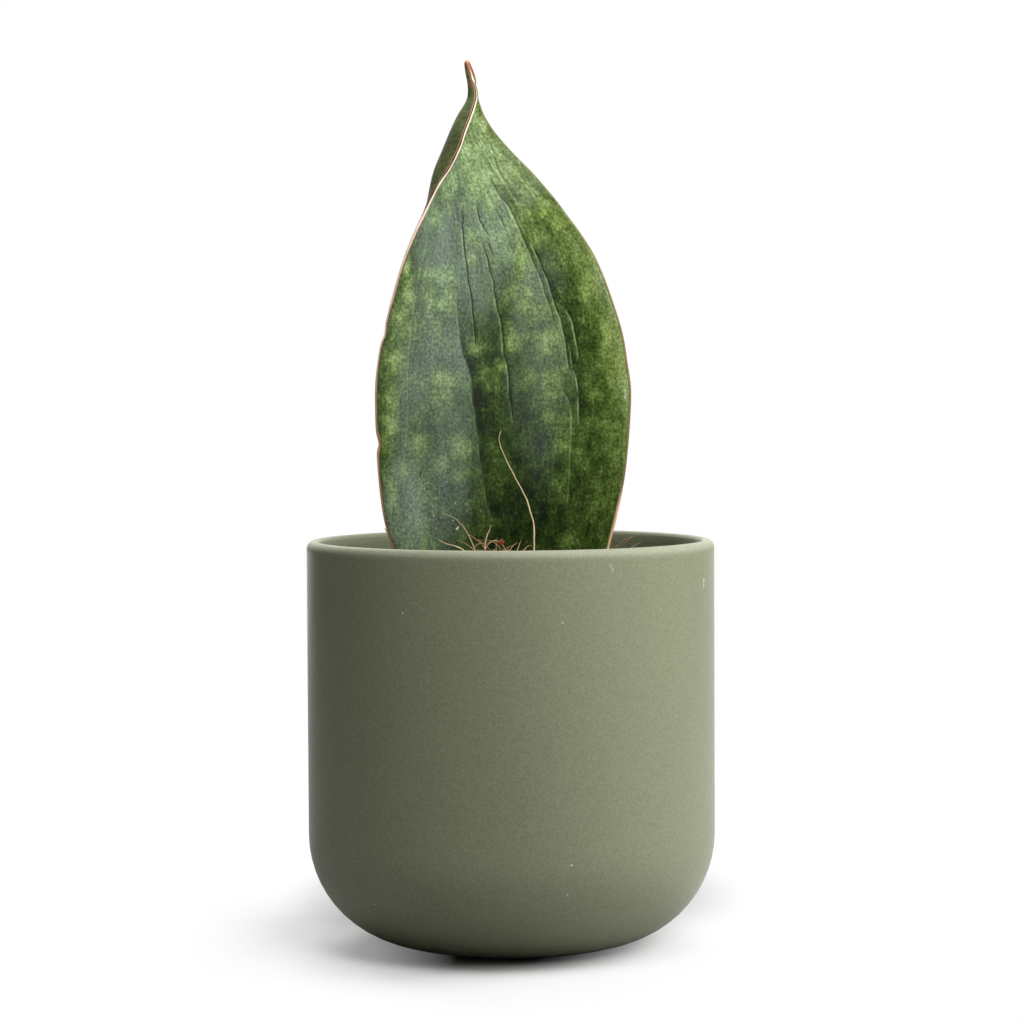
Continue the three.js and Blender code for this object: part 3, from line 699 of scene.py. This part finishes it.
    # horny margins, the first of each side all the way up and the others over it in their span of height
    uneven = add(t, "ShaderNodeMath", [clouds, 0.8, -0.4], operation="MULTIPLY_ADD")
    left_edge, right_edge = [add(t, "ShaderNodeMath", [side, uneven], operation="ADD") for side in (left,
    right)]
    for side, rim, span in [
        (left_edge, LEFT_LOW, None),
        (left_edge, LEFT_MIDDLE, (202, 210)),
        (left_edge, LEFT_HIGH, (264, 270)),
        (right_edge, RIGHT_HIGH, None),
        (right_edge, RIGHT_LOW, (168, 160)),
    ]:
        along = add(t, "ShaderNodeMapRange", [side, RIM_FAR, RIM_NEAR])
        stops = [((place - RIM_FAR) / (RIM_NEAR - RIM_FAR),
        linear(tint)[:3] + [full]) for place, tint, full in rim]
        horn = add(t, "ShaderNodeValToRGB", [along], stops).outputs
        cover = horn["Alpha"]
        if span:
            here = add(t, "ShaderNodeMapRange", [height, *span])
            cover = add(t, "ShaderNodeMath", [here, cover], operation="MULTIPLY")
        colour = add(t, "ShaderNodeMix", [cover, colour, horn["Color"]], data_type="RGBA")

    # the spine: brown where the margins meet, then orange-red, and pale at the very tip
    meeting = add(t, "ShaderNodeMapRange", [height, 314.5, 315.5, 0, 0.65])
    above = add(t, "ShaderNodeMapRange", [height, 317.5, 316.5])
    mauve = add(t, "ShaderNodeMath", [meeting, above], operation="MULTIPLY")
    browner = add(t, "ShaderNodeMapRange", [height, 317, 322, 0, 0.85])
    climb = add(t, "ShaderNodeMapRange", [height, 316, 323, -1.6, 0.2])
    turned = add(t, "ShaderNodeMath", [face, 1.2, climb], operation="MULTIPLY_ADD")
    dry = add(t, "ShaderNodeMapRange", [turned, -0.1, 0.7])
    point = add(t, "ShaderNodeMapRange", [height, 323.7, 324.6])
    for share, tint in [(mauve, "#7a5548"), (browner, "#86704f"), (dry, "#a4603f"), (point, "#e2a57c")]:
        colour = add(t, "ShaderNodeMix", [share, colour, linear(tint)], data_type="RGBA")

    relief = add(t, "ShaderNodeMath", [veins, 1.2, grain], operation="MULTIPLY_ADD")
    bumpy = add(t, "ShaderNodeBump", {"Height": relief, "Strength": 0.5, "Distance": 0.05 * MM})
    gloss = add(t, "ShaderNodeMapRange", [rubbed, 0.3, 0.7, 0.42, 0.56])
    dull = add(t, "ShaderNodeMapRange", [face, 0.2, -0.4, 0, 0.3])
    roughness = add(t, "ShaderNodeMath", [gloss, dull], operation="ADD")
    finish = add(t, "ShaderNodeBsdfPrincipled", {
        "Base Color": colour, "Roughness": roughness, "IOR": 1.45, "Specular IOR Level": 0.2,
        "Normal": bumpy})
    add(t, "ShaderNodeOutputMaterial", {"Surface": finish})
    return material


def make_leaf():
    places = leaf_rows()
    across, _, length = leaf_columns(places, FRONT_COLUMNS)
    front = leaf_face(places, FRONT_COLUMNS, 1)
    back = leaf_face(places, BACK_COLUMNS, -1)
    right = leaf_rim(places, 1, across[:, -1:], length)
    left = leaf_rim(places, 0, across[:, :1], length)
    # one ring for each row: the front face, the right rim, the back face from right to left, the left rim
    points, *marks = (
        np.concatenate([front[i], right[i], back[i][:, ::-1], left[i][:, ::-1]], 1) for i in range(5))
    rows, count = points.shape[:2]
    corners = np.arange(rows * count).reshape(rows, count)
    low, high = corners[:-1], corners[1:]
    quads = np.stack([low, np.roll(low, -1, 1), np.roll(high, -1, 1), high], -1).reshape(-1, 4)
    foot, tip = rows * count, rows * count + 1
    fans = [(foot, int(b), int(a)) for a, b in zip(corners[0], np.roll(corners[0], -1))]
    fans += [(tip, int(a), int(b)) for a, b in zip(corners[-1], np.roll(corners[-1], -1))]
    everything = np.concatenate([points.reshape(-1, 3), [points[0].mean(0)], [LEAF_TIP]])
    leaf = new_object("leaf_blade", everything.tolist(), [], quads.tolist() + fans)
    for name, mark in zip(LEAF_MARKS, marks):
        keep(leaf, name, "FLOAT_VECTOR", np.concatenate([mark.reshape(-1, 3), mark[0, :1], mark[-1, :1]]))
    leaf.data.shade_smooth()
    leaf.data.materials.append(waxy_leaf_skin())
    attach(leaf, "root")
    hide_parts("leaf")


# Soil

SOIL_LEVEL = 137.5
SOIL_MOUND = 3.5
SOIL_GAP = 0.4  # between the soil and the pot
MOUND_CENTRE = (-3, 4)
MOUND_REACH = (45, 32)
SOIL_RINGS = 76
SOIL_SEGMENTS = 220


def soil_height(x, y):
    """The soil's surface: a low mound round the leaf, with gentle waves."""
    out_x = (x - MOUND_CENTRE[0]) / MOUND_REACH[0]
    out_y = (y - MOUND_CENTRE[1]) / MOUND_REACH[1]
    mound = SOIL_MOUND * np.exp(-(out_x**2) - out_y**2)
    waves = 0.7 * np.sin(x / 9 + 1.3) * np.cos(y / 11) + 0.5 * np.sin((x + y) / 5.3)
    return SOIL_LEVEL + mound + waves


def soil_body():
    """The soil's closed body, and how open each of its points is: 1 on the surface,
    0 at the wall and below."""
    radius = INSIDE_RADIUS - SOIL_GAP
    corner = FOOT_CORNER - WALL - SOIL_GAP
    floor = FLOOR + SOIL_GAP
    turn = 2 * np.pi * np.arange(SOIL_SEGMENTS) / SOIL_SEGMENTS
    rings = []
    openness = []
    for k in range(1, SOIL_RINGS + 1):
        r = radius * k / SOIL_RINGS
        x, y = r * np.cos(turn), r * np.sin(turn)
        rings.append(np.stack([x, y, soil_height(x, y)], -1))
        openness.append(np.clip((radius - r) / 3, 0, 1))
    for angle in np.radians(np.linspace(0, -90, 10)):
        r = radius - corner + corner * np.cos(angle)
        z = floor + corner + corner * np.sin(angle)
        rings.append(np.stack([r * np.cos(turn), r * np.sin(turn), np.full_like(turn, z)], -1))
        openness.append(0)
    points = np.concatenate([np.concatenate(rings), [[0, 0, soil_height(0, 0)], [0, 0, floor]]])
    corners = np.arange(len(rings) * SOIL_SEGMENTS).reshape(len(rings), SOIL_SEGMENTS)
    inner, outer = corners[:-1], corners[1:]
    quads = np.stack([inner, outer, np.roll(outer, -1, 1), np.roll(inner, -1, 1)], -1).reshape(-1, 4)
    top, bottom = len(points) - 2, len(points) - 1
    fans = [(top, int(a), int(b)) for a, b in zip(corners[0], np.roll(corners[0], -1))]
    fans += [(bottom, int(b), int(a)) for a, b in zip(corners[-1], np.roll(corners[-1], -1))]
    faces = quads.tolist() + fans
    return points, faces, np.concatenate([np.repeat(openness, SOIL_SEGMENTS), [1, 0]])


def soil_crumbling():
    """Breaks the soil's surface into lumps and scatters crumbs over it."""
    sizes = {
        "Lump width": "Float", "Lump height": "Float", "Crumb radius": "Float", "Crumbs per area": "Float",
        "Seed": "Int", "Material": "Material"}
    tree, given = new_growth("soil_crumbling", sizes)
    openness = add(tree, "GeometryNodeInputNamedAttribute", {"Name": "openness"})
    per_width = add(tree, "ShaderNodeMath", [1.0, given["Lump width"]], operation="DIVIDE")
    lumps = add(tree, "ShaderNodeTexNoise", {"Scale": per_width, "Detail": 4.0, "Roughness": 0.62})
    swell = add(tree, "ShaderNodeMath", [lumps, 0.5], operation="SUBTRACT")
    tall = add(tree, "ShaderNodeMath", [swell, given["Lump height"]], operation="MULTIPLY")
    open_tall = add(tree, "ShaderNodeMath", [tall, openness], operation="MULTIPLY")
    lift = add(tree, "ShaderNodeCombineXYZ", {"Z": open_tall})
    broken = add(tree, "GeometryNodeSetPosition", {"Geometry": given["Geometry"], "Offset": lift})
    open_ground = add(tree, "ShaderNodeMath", [openness, 0.5], operation="GREATER_THAN")
    spots = add(tree, "GeometryNodeDistributePointsOnFaces", {
        "Mesh": broken, "Selection": open_ground, "Density": given["Crumbs per area"], "Seed": given["Seed"]})
    ball = add(tree, "GeometryNodeMeshIcoSphere", {"Radius": given["Crumb radius"], "Subdivisions": 1})
    size = add(
        tree, "FunctionNodeRandomValue",
        {"Min": (0.3, 0.3, 0.25), "Max": (1.4, 1.1, 0.9), "Seed": given["Seed"]}, data_type="FLOAT_VECTOR")
    turn = add(
        tree, "FunctionNodeRandomValue", {"Max": (6.28, 6.28, 6.28), "Seed": given["Seed"]},
        data_type="FLOAT_VECTOR")
    crumbs = add(tree, "GeometryNodeInstanceOnPoints", {
        "Points": spots, "Instance": ball, "Rotation": turn, "Scale": size})
    real = add(tree, "GeometryNodeRealizeInstances", {"Geometry": crumbs})
    ground = add(tree, "GeometryNodeSetShadeSmooth", {"Geometry": broken})
    joined = add(tree, "GeometryNodeJoinGeometry", {"Geometry": ground})
    tree.links.new(real.outputs["Geometry"], joined.inputs["Geometry"])
    whole = add(tree, "GeometryNodeRealizeInstances", {"Geometry": joined})
    dark = add(tree, "GeometryNodeSetMaterial", {"Geometry": whole, "Material": given["Material"]})
    add(tree, "NodeGroupOutput", {"Geometry": dark})
    return tree


def moist_peat_mix():
    """Screened peat with bark dust, watered: almost black-brown, matt, with lighter dry specks."""
    material, t = new_material("moist_peat_mix")
    place = add(t, "ShaderNodeTexCoord").outputs["Object"]
    crumbs = add(t, "ShaderNodeTexNoise", {"Vector": place, "Scale": 1 / (2.2 * MM), "Detail": 4.0})
    specks = add(t, "ShaderNodeTexNoise", {"Vector": place, "Scale": 1 / (0.9 * MM), "Detail": 1.0})
    damp = add(t, "ShaderNodeMapRange", {"Value": crumbs, "From Min": 0.35, "From Max": 0.68})
    dry = add(t, "ShaderNodeMapRange", {"Value": specks, "From Min": 0.64, "From Max": 0.72})
    brown = add(
        t, "ShaderNodeMix", {"Factor": damp, "A": linear("#1d140e"), "B": linear("#4a3424")},
        data_type="RGBA")
    specked = add(t, "ShaderNodeMix", {"Factor": dry, "A": brown, "B": linear("#8a6a48")}, data_type="RGBA")
    rough = add(t, "ShaderNodeBump", {"Height": crumbs, "Strength": 0.8, "Distance": 0.5 * MM})
    finish = add(t, "ShaderNodeBsdfPrincipled", {"Base Color": specked, "Roughness": 0.92, "Normal": rough})
    add(t, "ShaderNodeOutputMaterial", {"Surface": finish})
    return material


def make_soil():
    points, faces, openness = soil_body()
    soil = new_object("crumbly_soil", points.tolist(), [], faces)
    keep(soil, "openness", "FLOAT", openness)
    values = {
        "Lump width": 5 * MM, "Lump height": 4.5 * MM, "Crumb radius": 1.3 * MM, "Crumbs per area": 2.0e5,
        "Seed": 4, "Material": moist_peat_mix()}
    grow(soil, soil_crumbling(), values)
    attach(soil, "root")
    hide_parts("potting_soil")


# Coir fibres

# Each fibre: how red it is, how thick it is, and its route, which is repeated from the solids where they have
# it
STRAND = [
    (-0.3, 1, [
        (8.4, -8.5, 128), (8.6, -8, 138), (8.7, -7.2, 145.2), (8.7, -5.8, 150.2), (8.5, -4.3, 154.4),
        (7.3, -2.6, 158.9), (5.7, -0.8, 163.7), (3.2, 0.2, 168.6), (0.2, 1, 174.4), (-2.3, 1.4, 179.9),
        (-3.8, 1.6, 183.8), (-4, 1.6, 186.3), (-3.2, 1.6, 188.4)]),
]
FRONT_FIBRES = [
    (-0.1, 0.9, [(-11, -9, 141), (-13.1, -7, 145.3), (-16.4, -4, 152.1), (-20.8, -4, 156.8),
    (-25.2, -4.5, 158.3)]),
    (-0.2, 1.6, [(-12, -10, 141), (-17.8, -9, 145.4), (-22.9, -8, 147.2), (-26.2, -8, 148.5)]),
    (0.4, 0.9, [(-9, -10, 141), (-14.5, -8, 146.1), (-17.1, -7, 147.5), (-19.7, -6, 148.5)]),
    (0.6, 0.8, [(-3, -10, 141), (-7.6, -8, 145.3), (-9.9, -6, 147), (-12, -4, 149.1)]),
    (0.1, 1.1, [(-10, -10, 141), (-8.6, -9, 146.6), (-5.3, -9, 148.4), (-2.2, -9, 145.8), (-1, -9, 141)]),
    (0.2, 0.8, [(-5, -9, 141), (-5.2, -8, 145.3), (-5.2, -7, 147.8)]),
    (-0.6, 1, [(-9, -9, 141), (-9.4, -5, 145.1), (-8.8, -3, 149.4), (-7.6, -1.5, 152), (-7.2, -1, 153.7)]),
    (0.4, 0.9, [(-5, -10, 143), (-1.3, -9, 145.7), (1.6, -9, 147.1)]),
    (0.1, 0.9, [(1, -9, 141), (2.7, -7, 145.2), (3.8, -5, 148.2)]),
    (0.3, 0.8, [(3, -10, 142), (6, -6, 145.9), (8, -4, 146.2)]),
    (0.3, 0.7, [(-7, -12, 141), (-10, -9, 146.5), (-13.5, -6, 149.4), (-16, -4, 151)]),
    (0.5, 0.7, [(-2, -12, 141), (-4.5, -10, 146.6), (-8, -8, 148.6), (-12.5, -7, 148.2)]),
    (0.2, 0.7, [(-1, -12, 143), (0.5, -10, 146), (2.5, -8, 147.6)]),
    (0.5, 0.7, [(-16, -12, 141), (-12.5, -10, 146.8), (-8.5, -8, 147.6), (-4.5, -8, 149.2)]),
    (1.9, 2.4, [(-4.1, -9.6, 147.3), (-3.5, -9.9, 148.1), (-2.7, -9.7, 148.9)]),
    (1.4, 1.9, [(-3.8, -9.4, 146.8), (-3, -9.7, 147.5), (-2.1, -9.6, 148.4)]),
    (0.8, 0.8, [(-4.6, -9.4, 147.6), (-3.9, -9.6, 148.6), (-3.1, -9.5, 149.5)]),
    (-1, 1.8, [(-19.8, -4.3, 152.2), (-19, -4.2, 153.4)]),
    (0.9, 1.4, [(-44, -8.2, 150.2), (-44.9, -8.6, 151.6), (-45.9, -8.8, 153.2)]),
]
REAR_FIBRES = [
    (0.9, 1, [(38, 28, 139), (38.6, 28, 143), (40.2, 29, 144.1), (43.7, 33, 146.5), (49.3, 40, 147.2)]),
    (0.8, 0.9, [(41, 30, 139), (41.4, 31, 142.8), (42.5, 32, 144.3), (44.9, 34, 146.4), (48.1, 38, 148.2)]),
    (1, 0.8, [(44, 31, 139), (45.8, 36, 142.8), (47.8, 39, 144), (50.2, 42, 144.8)]),
]


def fibre_spinning():
    """Spins round fibres that thin out towards their free end: along the drawn lines,
    and short bent ones in a mat."""
    sizes = {
        "Radius": "Float", "Step": "Float", "Wander": "Float", "Sides": "Int", "Mat centre": "Vector",
        "Mat size": "Vector", "Mat fibres per area": "Float", "Mat fibre length": "Float",
        "Mat redness": "Float", "Seed": "Int", "Material": "Material"}
    tree, given = new_growth("fibre_spinning", sizes)
    drawn = add(tree, "GeometryNodeMeshToCurve", {"Mesh": given["Geometry"]})
    curved = add(tree, "GeometryNodeCurveSplineType", {"Curve": drawn}, spline_type="CATMULL_ROM")

    ball = add(tree, "GeometryNodeMeshIcoSphere", {"Radius": 0.5, "Subdivisions": 4})
    body = add(tree, "GeometryNodeTransform", {
        "Geometry": ball, "Translation": given["Mat centre"], "Scale": given["Mat size"]})
    starts = add(tree, "GeometryNodeDistributePointsOnFaces", {
        "Mesh": body, "Density": given["Mat fibres per area"], "Seed": given["Seed"]})
    bow = add(tree, "GeometryNodeCurveQuadraticBezier", {
        "Resolution": 8, "Start": (-0.5, 0, -0.1), "Middle": (0, 0.15, 0.25), "End": (0.5, 0, -0.05)})
    turn = add(
        tree, "FunctionNodeRandomValue",
        {"Min": (-0.5, -0.6, 0), "Max": (0.5, 0.6, 6.28), "Seed": given["Seed"]}, data_type="FLOAT_VECTOR")
    portion = add(
        tree, "FunctionNodeRandomValue", {"Min": 0.35, "Max": 1.0, "Seed": given["Seed"]}, data_type="FLOAT")
    length = add(tree, "ShaderNodeMath", [portion, given["Mat fibre length"]], operation="MULTIPLY")
    bows = add(tree, "GeometryNodeInstanceOnPoints", {
        "Points": starts, "Instance": bow, "Rotation": turn, "Scale": length})
    loose = add(tree, "GeometryNodeRealizeInstances", {"Geometry": bows})
    shade_at = add(tree, "ShaderNodeTexNoise", {"Scale": 1 / (2.5 * MM), "Detail": 1.0})
    spread = add(tree, "ShaderNodeMath", [shade_at, 1.6, given["Mat redness"]], operation="MULTIPLY_ADD")
    dyed_red = add(
        tree, "GeometryNodeStoreNamedAttribute", {"Geometry": loose, "Name": "redness", "Value": spread},
        data_type="FLOAT", domain="POINT")
    thin = add(
        tree, "GeometryNodeStoreNamedAttribute", {"Geometry": dyed_red, "Name": "thickness", "Value": 0.6},
        data_type="FLOAT", domain="POINT")
    every = add(tree, "GeometryNodeJoinGeometry", {"Geometry": curved})
    tree.links.new(thin.outputs["Geometry"], every.inputs["Geometry"])
    stepped = add(tree, "GeometryNodeResampleCurve", {"Curve": every, "Length": given["Step"]}, mode="LENGTH")
    stray = add(tree, "ShaderNodeTexNoise", {"Scale": 1 / (3 * MM), "Detail": 2.0})
    centred = add(
        tree, "ShaderNodeVectorMath", [stray.outputs["Color"], (0.5, 0.5, 0.5)], operation="SUBTRACT")
    strayed = add(tree, "ShaderNodeVectorMath", [centred, given["Wander"]], operation="SCALE")
    bent = add(tree, "GeometryNodeSetPosition", {"Geometry": stepped, "Offset": strayed})
    along = add(tree, "GeometryNodeSplineParameter")
    taper = add(tree, "ShaderNodeMapRange", {
        "Value": along.outputs["Factor"], "From Min": 0.55, "From Max": 1.0, "To Min": 1.0, "To Max": 0.45})
    thickness = add(tree, "GeometryNodeInputNamedAttribute", {"Name": "thickness"})
    width = add(tree, "ShaderNodeMath", [taper, thickness], operation="MULTIPLY")
    section = add(tree, "GeometryNodeCurvePrimitiveCircle", {
        "Resolution": given["Sides"], "Radius": given["Radius"]})
    tube = add(tree, "GeometryNodeCurveToMesh", {
        "Curve": bent, "Profile Curve": section, "Scale": width, "Fill Caps": True})
    even = add(tree, "GeometryNodeSetShadeSmooth", {"Geometry": tube})
    real = add(tree, "GeometryNodeRealizeInstances", {"Geometry": even})
    dyed = add(tree, "GeometryNodeSetMaterial", {"Geometry": real, "Material": given["Material"]})
    add(tree, "NodeGroupOutput", {"Geometry": dyed})
    return tree


# Colours of the coir by how red a fibre is, from pale straw to the red of a scale of husk
TAN_COIR = ["#efe0bd", "#dcc596", "#bd9a6c", "#8a5f3c", "#9c4a26"]
RED_COIR = ["#d9c4a0", "#b08a62", "#856044", "#664634", "#4a2c20"]


def dry_coir(name, colours):
    """Coconut husk fibre, dried: a dull straw-like thread with darker stretches, some fibres red-brown."""
    material, t = new_material(name)
    place = add(t, "ShaderNodeTexCoord").outputs["Object"]
    redness = add(t, "ShaderNodeAttribute", attribute_name="redness").outputs["Fac"]
    stretch = add(t, "ShaderNodeTexNoise", {"Vector": place, "Scale": 1 / (4 * MM), "Detail": 2.0})
    mixed = add(t, "ShaderNodeMath", [stretch, 0.7, redness], operation="MULTIPLY_ADD")
    share = add(t, "ShaderNodeMapRange", {"Value": mixed, "From Min": -0.6, "From Max": 2.4})
    stops = [((number + 0.001) / len(colours), linear(tint)) for number, tint in enumerate(colours)]
    shades = add(t, "ShaderNodeValToRGB", [share], stops)
    streak = add(t, "ShaderNodeTexNoise", {"Vector": place, "Scale": 1 / (0.5 * MM), "Detail": 2.0})
    thread = add(t, "ShaderNodeBump", {"Height": streak, "Strength": 0.3, "Distance": 0.1 * MM})
    finish = add(t, "ShaderNodeBsdfPrincipled", {
        "Base Color": shades.outputs["Color"], "Roughness": 0.65, "Normal": thread})
    add(t, "ShaderNodeOutputMaterial", {"Surface": finish})
    return material


def make_fibres(name, node, fibres, radius, material, spinning, mat=None):
    """A bunch of fibres. mat gives the centre, size, fibres per square millimetre,
    fibre length and redness."""
    points = []
    edges = []
    redness = []
    thickness = []
    for red, thick, route in fibres:
        start = len(points)
        points += route
        redness += [red] * len(route)
        thickness += [thick] * len(route)
        edges += [(i, i + 1) for i in range(start, len(points) - 1)]
    bunch = new_object(name, points, edges, [])
    keep(bunch, "redness", "FLOAT", redness)
    keep(bunch, "thickness", "FLOAT", thickness)
    centre, size, density, length, mat_redness = mat or ((0, 0, 0), (1, 1, 1), 0, 1, 0)
    values = {
        "Radius": radius * MM, "Step": 0.6 * MM, "Wander": 0.5 * MM, "Sides": 6,
        "Mat centre": [MM * v for v in centre], "Mat size": [MM * v for v in size],
        "Mat fibres per area": density / MM**2, "Mat fibre length": length * MM, "Mat redness": mat_redness,
        "Seed": 7, "Material": material}
    grow(bunch, spinning, values)
    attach(bunch, "root")
    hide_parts(node)


# Studio: a pale floor, a white surround and soft light from the right and from above

# Where each softbox stands: its azimuth round the pot, 0 towards the viewer and 90 to the right, its
# elevation,
# its distance, its width, its power in watts, and the height that it is aimed at
SOFTBOXES = {
    "back_left_softbox": (-164, 35, 1.5, 0.9, 21, 0.12),
    "right_key_softbox": (99, 35, 1.5, 0.9, 16.5, 0.14),
    "near_right_softbox": (42, 40, 0.55, 0.45, 1.9, 0.12),
    "low_back_softbox": (165, 5, 1.5, 0.9, 3.5, 0.08),
    "low_back_left_softbox": (-169, 5, 1.5, 0.9, 7.5, 0.08),
    "overhead_softbox": (0, 70, 0.7, 0.4, 2.96, 0.16),
}


# The floor's shadow is painted out to plain white by a glow over an oval: its middle to the right of the
# pot's axis, its half width, and its half depth towards the viewer
SHADOW_CENTRE = -19
SHADOW_WIDTH = 76
SHADOW_DEPTH = 108
# A painted shadow lies on the floor behind the pot: its middle behind the axis, its half width and half depth
REAR_SHADE_MIDDLE = 105
REAR_SHADE_WIDTH = 80
REAR_SHADE_DEPTH = 125


def make_studio():
    for name, (azimuth, elevation, distance, width, power, aim_height) in SOFTBOXES.items():
        data = bpy.data.lights.new(name, "AREA")
        data.size = width
        data.energy = power
        turn, rise = math.radians(azimuth), math.radians(elevation)
        away = Vector((math.sin(turn) * math.cos(rise), -math.cos(turn) * math.cos(rise), math.sin(rise)))
        light = bpy.data.objects.new(name, data)
        light.location = away * distance + Vector((0, 0, aim_height))
        light.rotation_euler = away.to_track_quat("Z", "Y").to_euler()
        light.visible_camera = False
        bpy.context.scene.collection.objects.link(light)
    world = bpy.data.worlds.new("white_surround")
    bpy.context.scene.world = world
    world.use_nodes = True
    t = world.node_tree
    t.nodes.clear()
    seen = add(t, "ShaderNodeLightPath").outputs["Is Camera Ray"]
    strength = add(t, "ShaderNodeMapRange", {"Value": seen, "To Min": 0.04, "To Max": 1.0})
    surround = add(t, "ShaderNodeBackground", {"Color": linear("#ffffff"), "Strength": strength})
    add(t, "ShaderNodeOutputWorld", {"Surface": surround})
    material, t = new_material("pale_floor_paper")
    place = add(t, "ShaderNodeTexCoord").outputs["Object"]
    spot = add(t, "ShaderNodeSeparateXYZ", {"Vector": place})
    across = add(t, "ShaderNodeMath", [spot.outputs["X"], SHADOW_CENTRE * MM], operation="SUBTRACT")
    share = add(t, "ShaderNodeMath", [across, SHADOW_WIDTH * MM], operation="DIVIDE")
    ahead = add(t, "ShaderNodeMath", [spot.outputs["Y"], 0.0], operation="MINIMUM")
    depth = add(t, "ShaderNodeMath", [ahead, SHADOW_DEPTH * MM], operation="DIVIDE")
    oval = add(t, "ShaderNodeCombineXYZ", {"X": share, "Y": depth})
    away = add(t, "ShaderNodeVectorMath", [oval], operation="LENGTH").outputs["Value"]
    open_paper = add(
        t, "ShaderNodeMapRange", {"Value": away, "From Min": 0.5, "From Max": 1.4},
        interpolation_type="SMOOTHSTEP")
    # painted light: beyond 20 to 50 mm to either side of the axis the floor glows at up to 0.28, which
    # lightens the shadow there
    aside = add(t, "ShaderNodeMath", [spot.outputs["X"]], operation="ABSOLUTE")
    stray = add(t, "ShaderNodeMapRange", {"Value": aside, "From Min": 0.02, "From Max": 0.05, "To Max": 0.28})
    far = add(t, "ShaderNodeMath", [open_paper, stray], operation="MAXIMUM")
    paper = add(t, "ShaderNodeBsdfDiffuse", {"Color": linear("#e2e2e2")})
    glow = add(t, "ShaderNodeEmission", {"Color": linear("#ffffff"), "Strength": 1.0})
    lit = add(t, "ShaderNodeMixShader", [far, paper, glow])
    rear_scale = (1 / (REAR_SHADE_WIDTH * MM), 1 / (REAR_SHADE_DEPTH * MM), 0)
    rear_shift = (0, -REAR_SHADE_MIDDLE / REAR_SHADE_DEPTH, 0)
    rear = add(t, "ShaderNodeVectorMath", [place, rear_scale, rear_shift], operation="MULTIPLY_ADD")
    rear_away = add(t, "ShaderNodeVectorMath", [rear], operation="LENGTH").outputs["Value"]
    rear_shade = add(
        t, "ShaderNodeMapRange", {"Value": rear_away, "From Min": 1.2, "From Max": 0.7, "To Max": 0.42},
        interpolation_type="SMOOTHSTEP")
    # a black sheet mixed in towards the middle of the rear shade paints the shadow behind the pot
    black = add(t, "ShaderNodeBsdfDiffuse", {"Color": linear("#000000")})
    shaded = add(t, "ShaderNodeMixShader", [rear_shade, lit, black])
    # painted light: the floor that bounces light onto the pot is lighter towards the right, where more light
    # falls
    painted_light_rightwards = add(t, "ShaderNodeMapRange", {"Value": spot.outputs["X"], "From Min": 0.0, "From Max": 0.12})
    bounce = add(
        t, "ShaderNodeMix", {"Factor": painted_light_rightwards, "A": linear("#989898"), "B": linear("#d4d4d4")},
        data_type="RGBA")
    dim = add(t, "ShaderNodeBsdfDiffuse", {"Color": bounce})
    seen = add(t, "ShaderNodeLightPath").outputs["Is Camera Ray"]
    shown = add(t, "ShaderNodeMixShader", [seen, dim, shaded])
    add(t, "ShaderNodeOutputMaterial", {"Surface": shown})
    reach = 4000
    floor = new_object(
        "floor", [(-reach, -reach, 0), (reach, -reach, 0), (reach, reach, 0), (-reach, reach, 0)], [],
        [(0, 1, 2, 3)])
    floor.data.materials.append(material)


make_pot()
make_leaf()
make_soil()
spinning = fibre_spinning()
FRONT_MAT = ((-8, -10, 142), (34, 9, 5), 0.3, 7, -0.35)
REAR_MAT = ((41, 30, 139.5), (12, 8, 5), 0.4, 6, 0)
tan = dry_coir("dry_tan_coir", TAN_COIR)
red = dry_coir("dry_red_coir", RED_COIR)
make_fibres("tan_strand", "long_dry_strand", STRAND, 0.31, tan, spinning)
make_fibres("front_coir_fibres", "front_coir_tuft", FRONT_FIBRES, 0.19, tan, spinning, FRONT_MAT)
make_fibres("rear_coir_fibres", "rear_coir_tuft", REAR_FIBRES, 0.24, red, spinning, REAR_MAT)
make_studio()
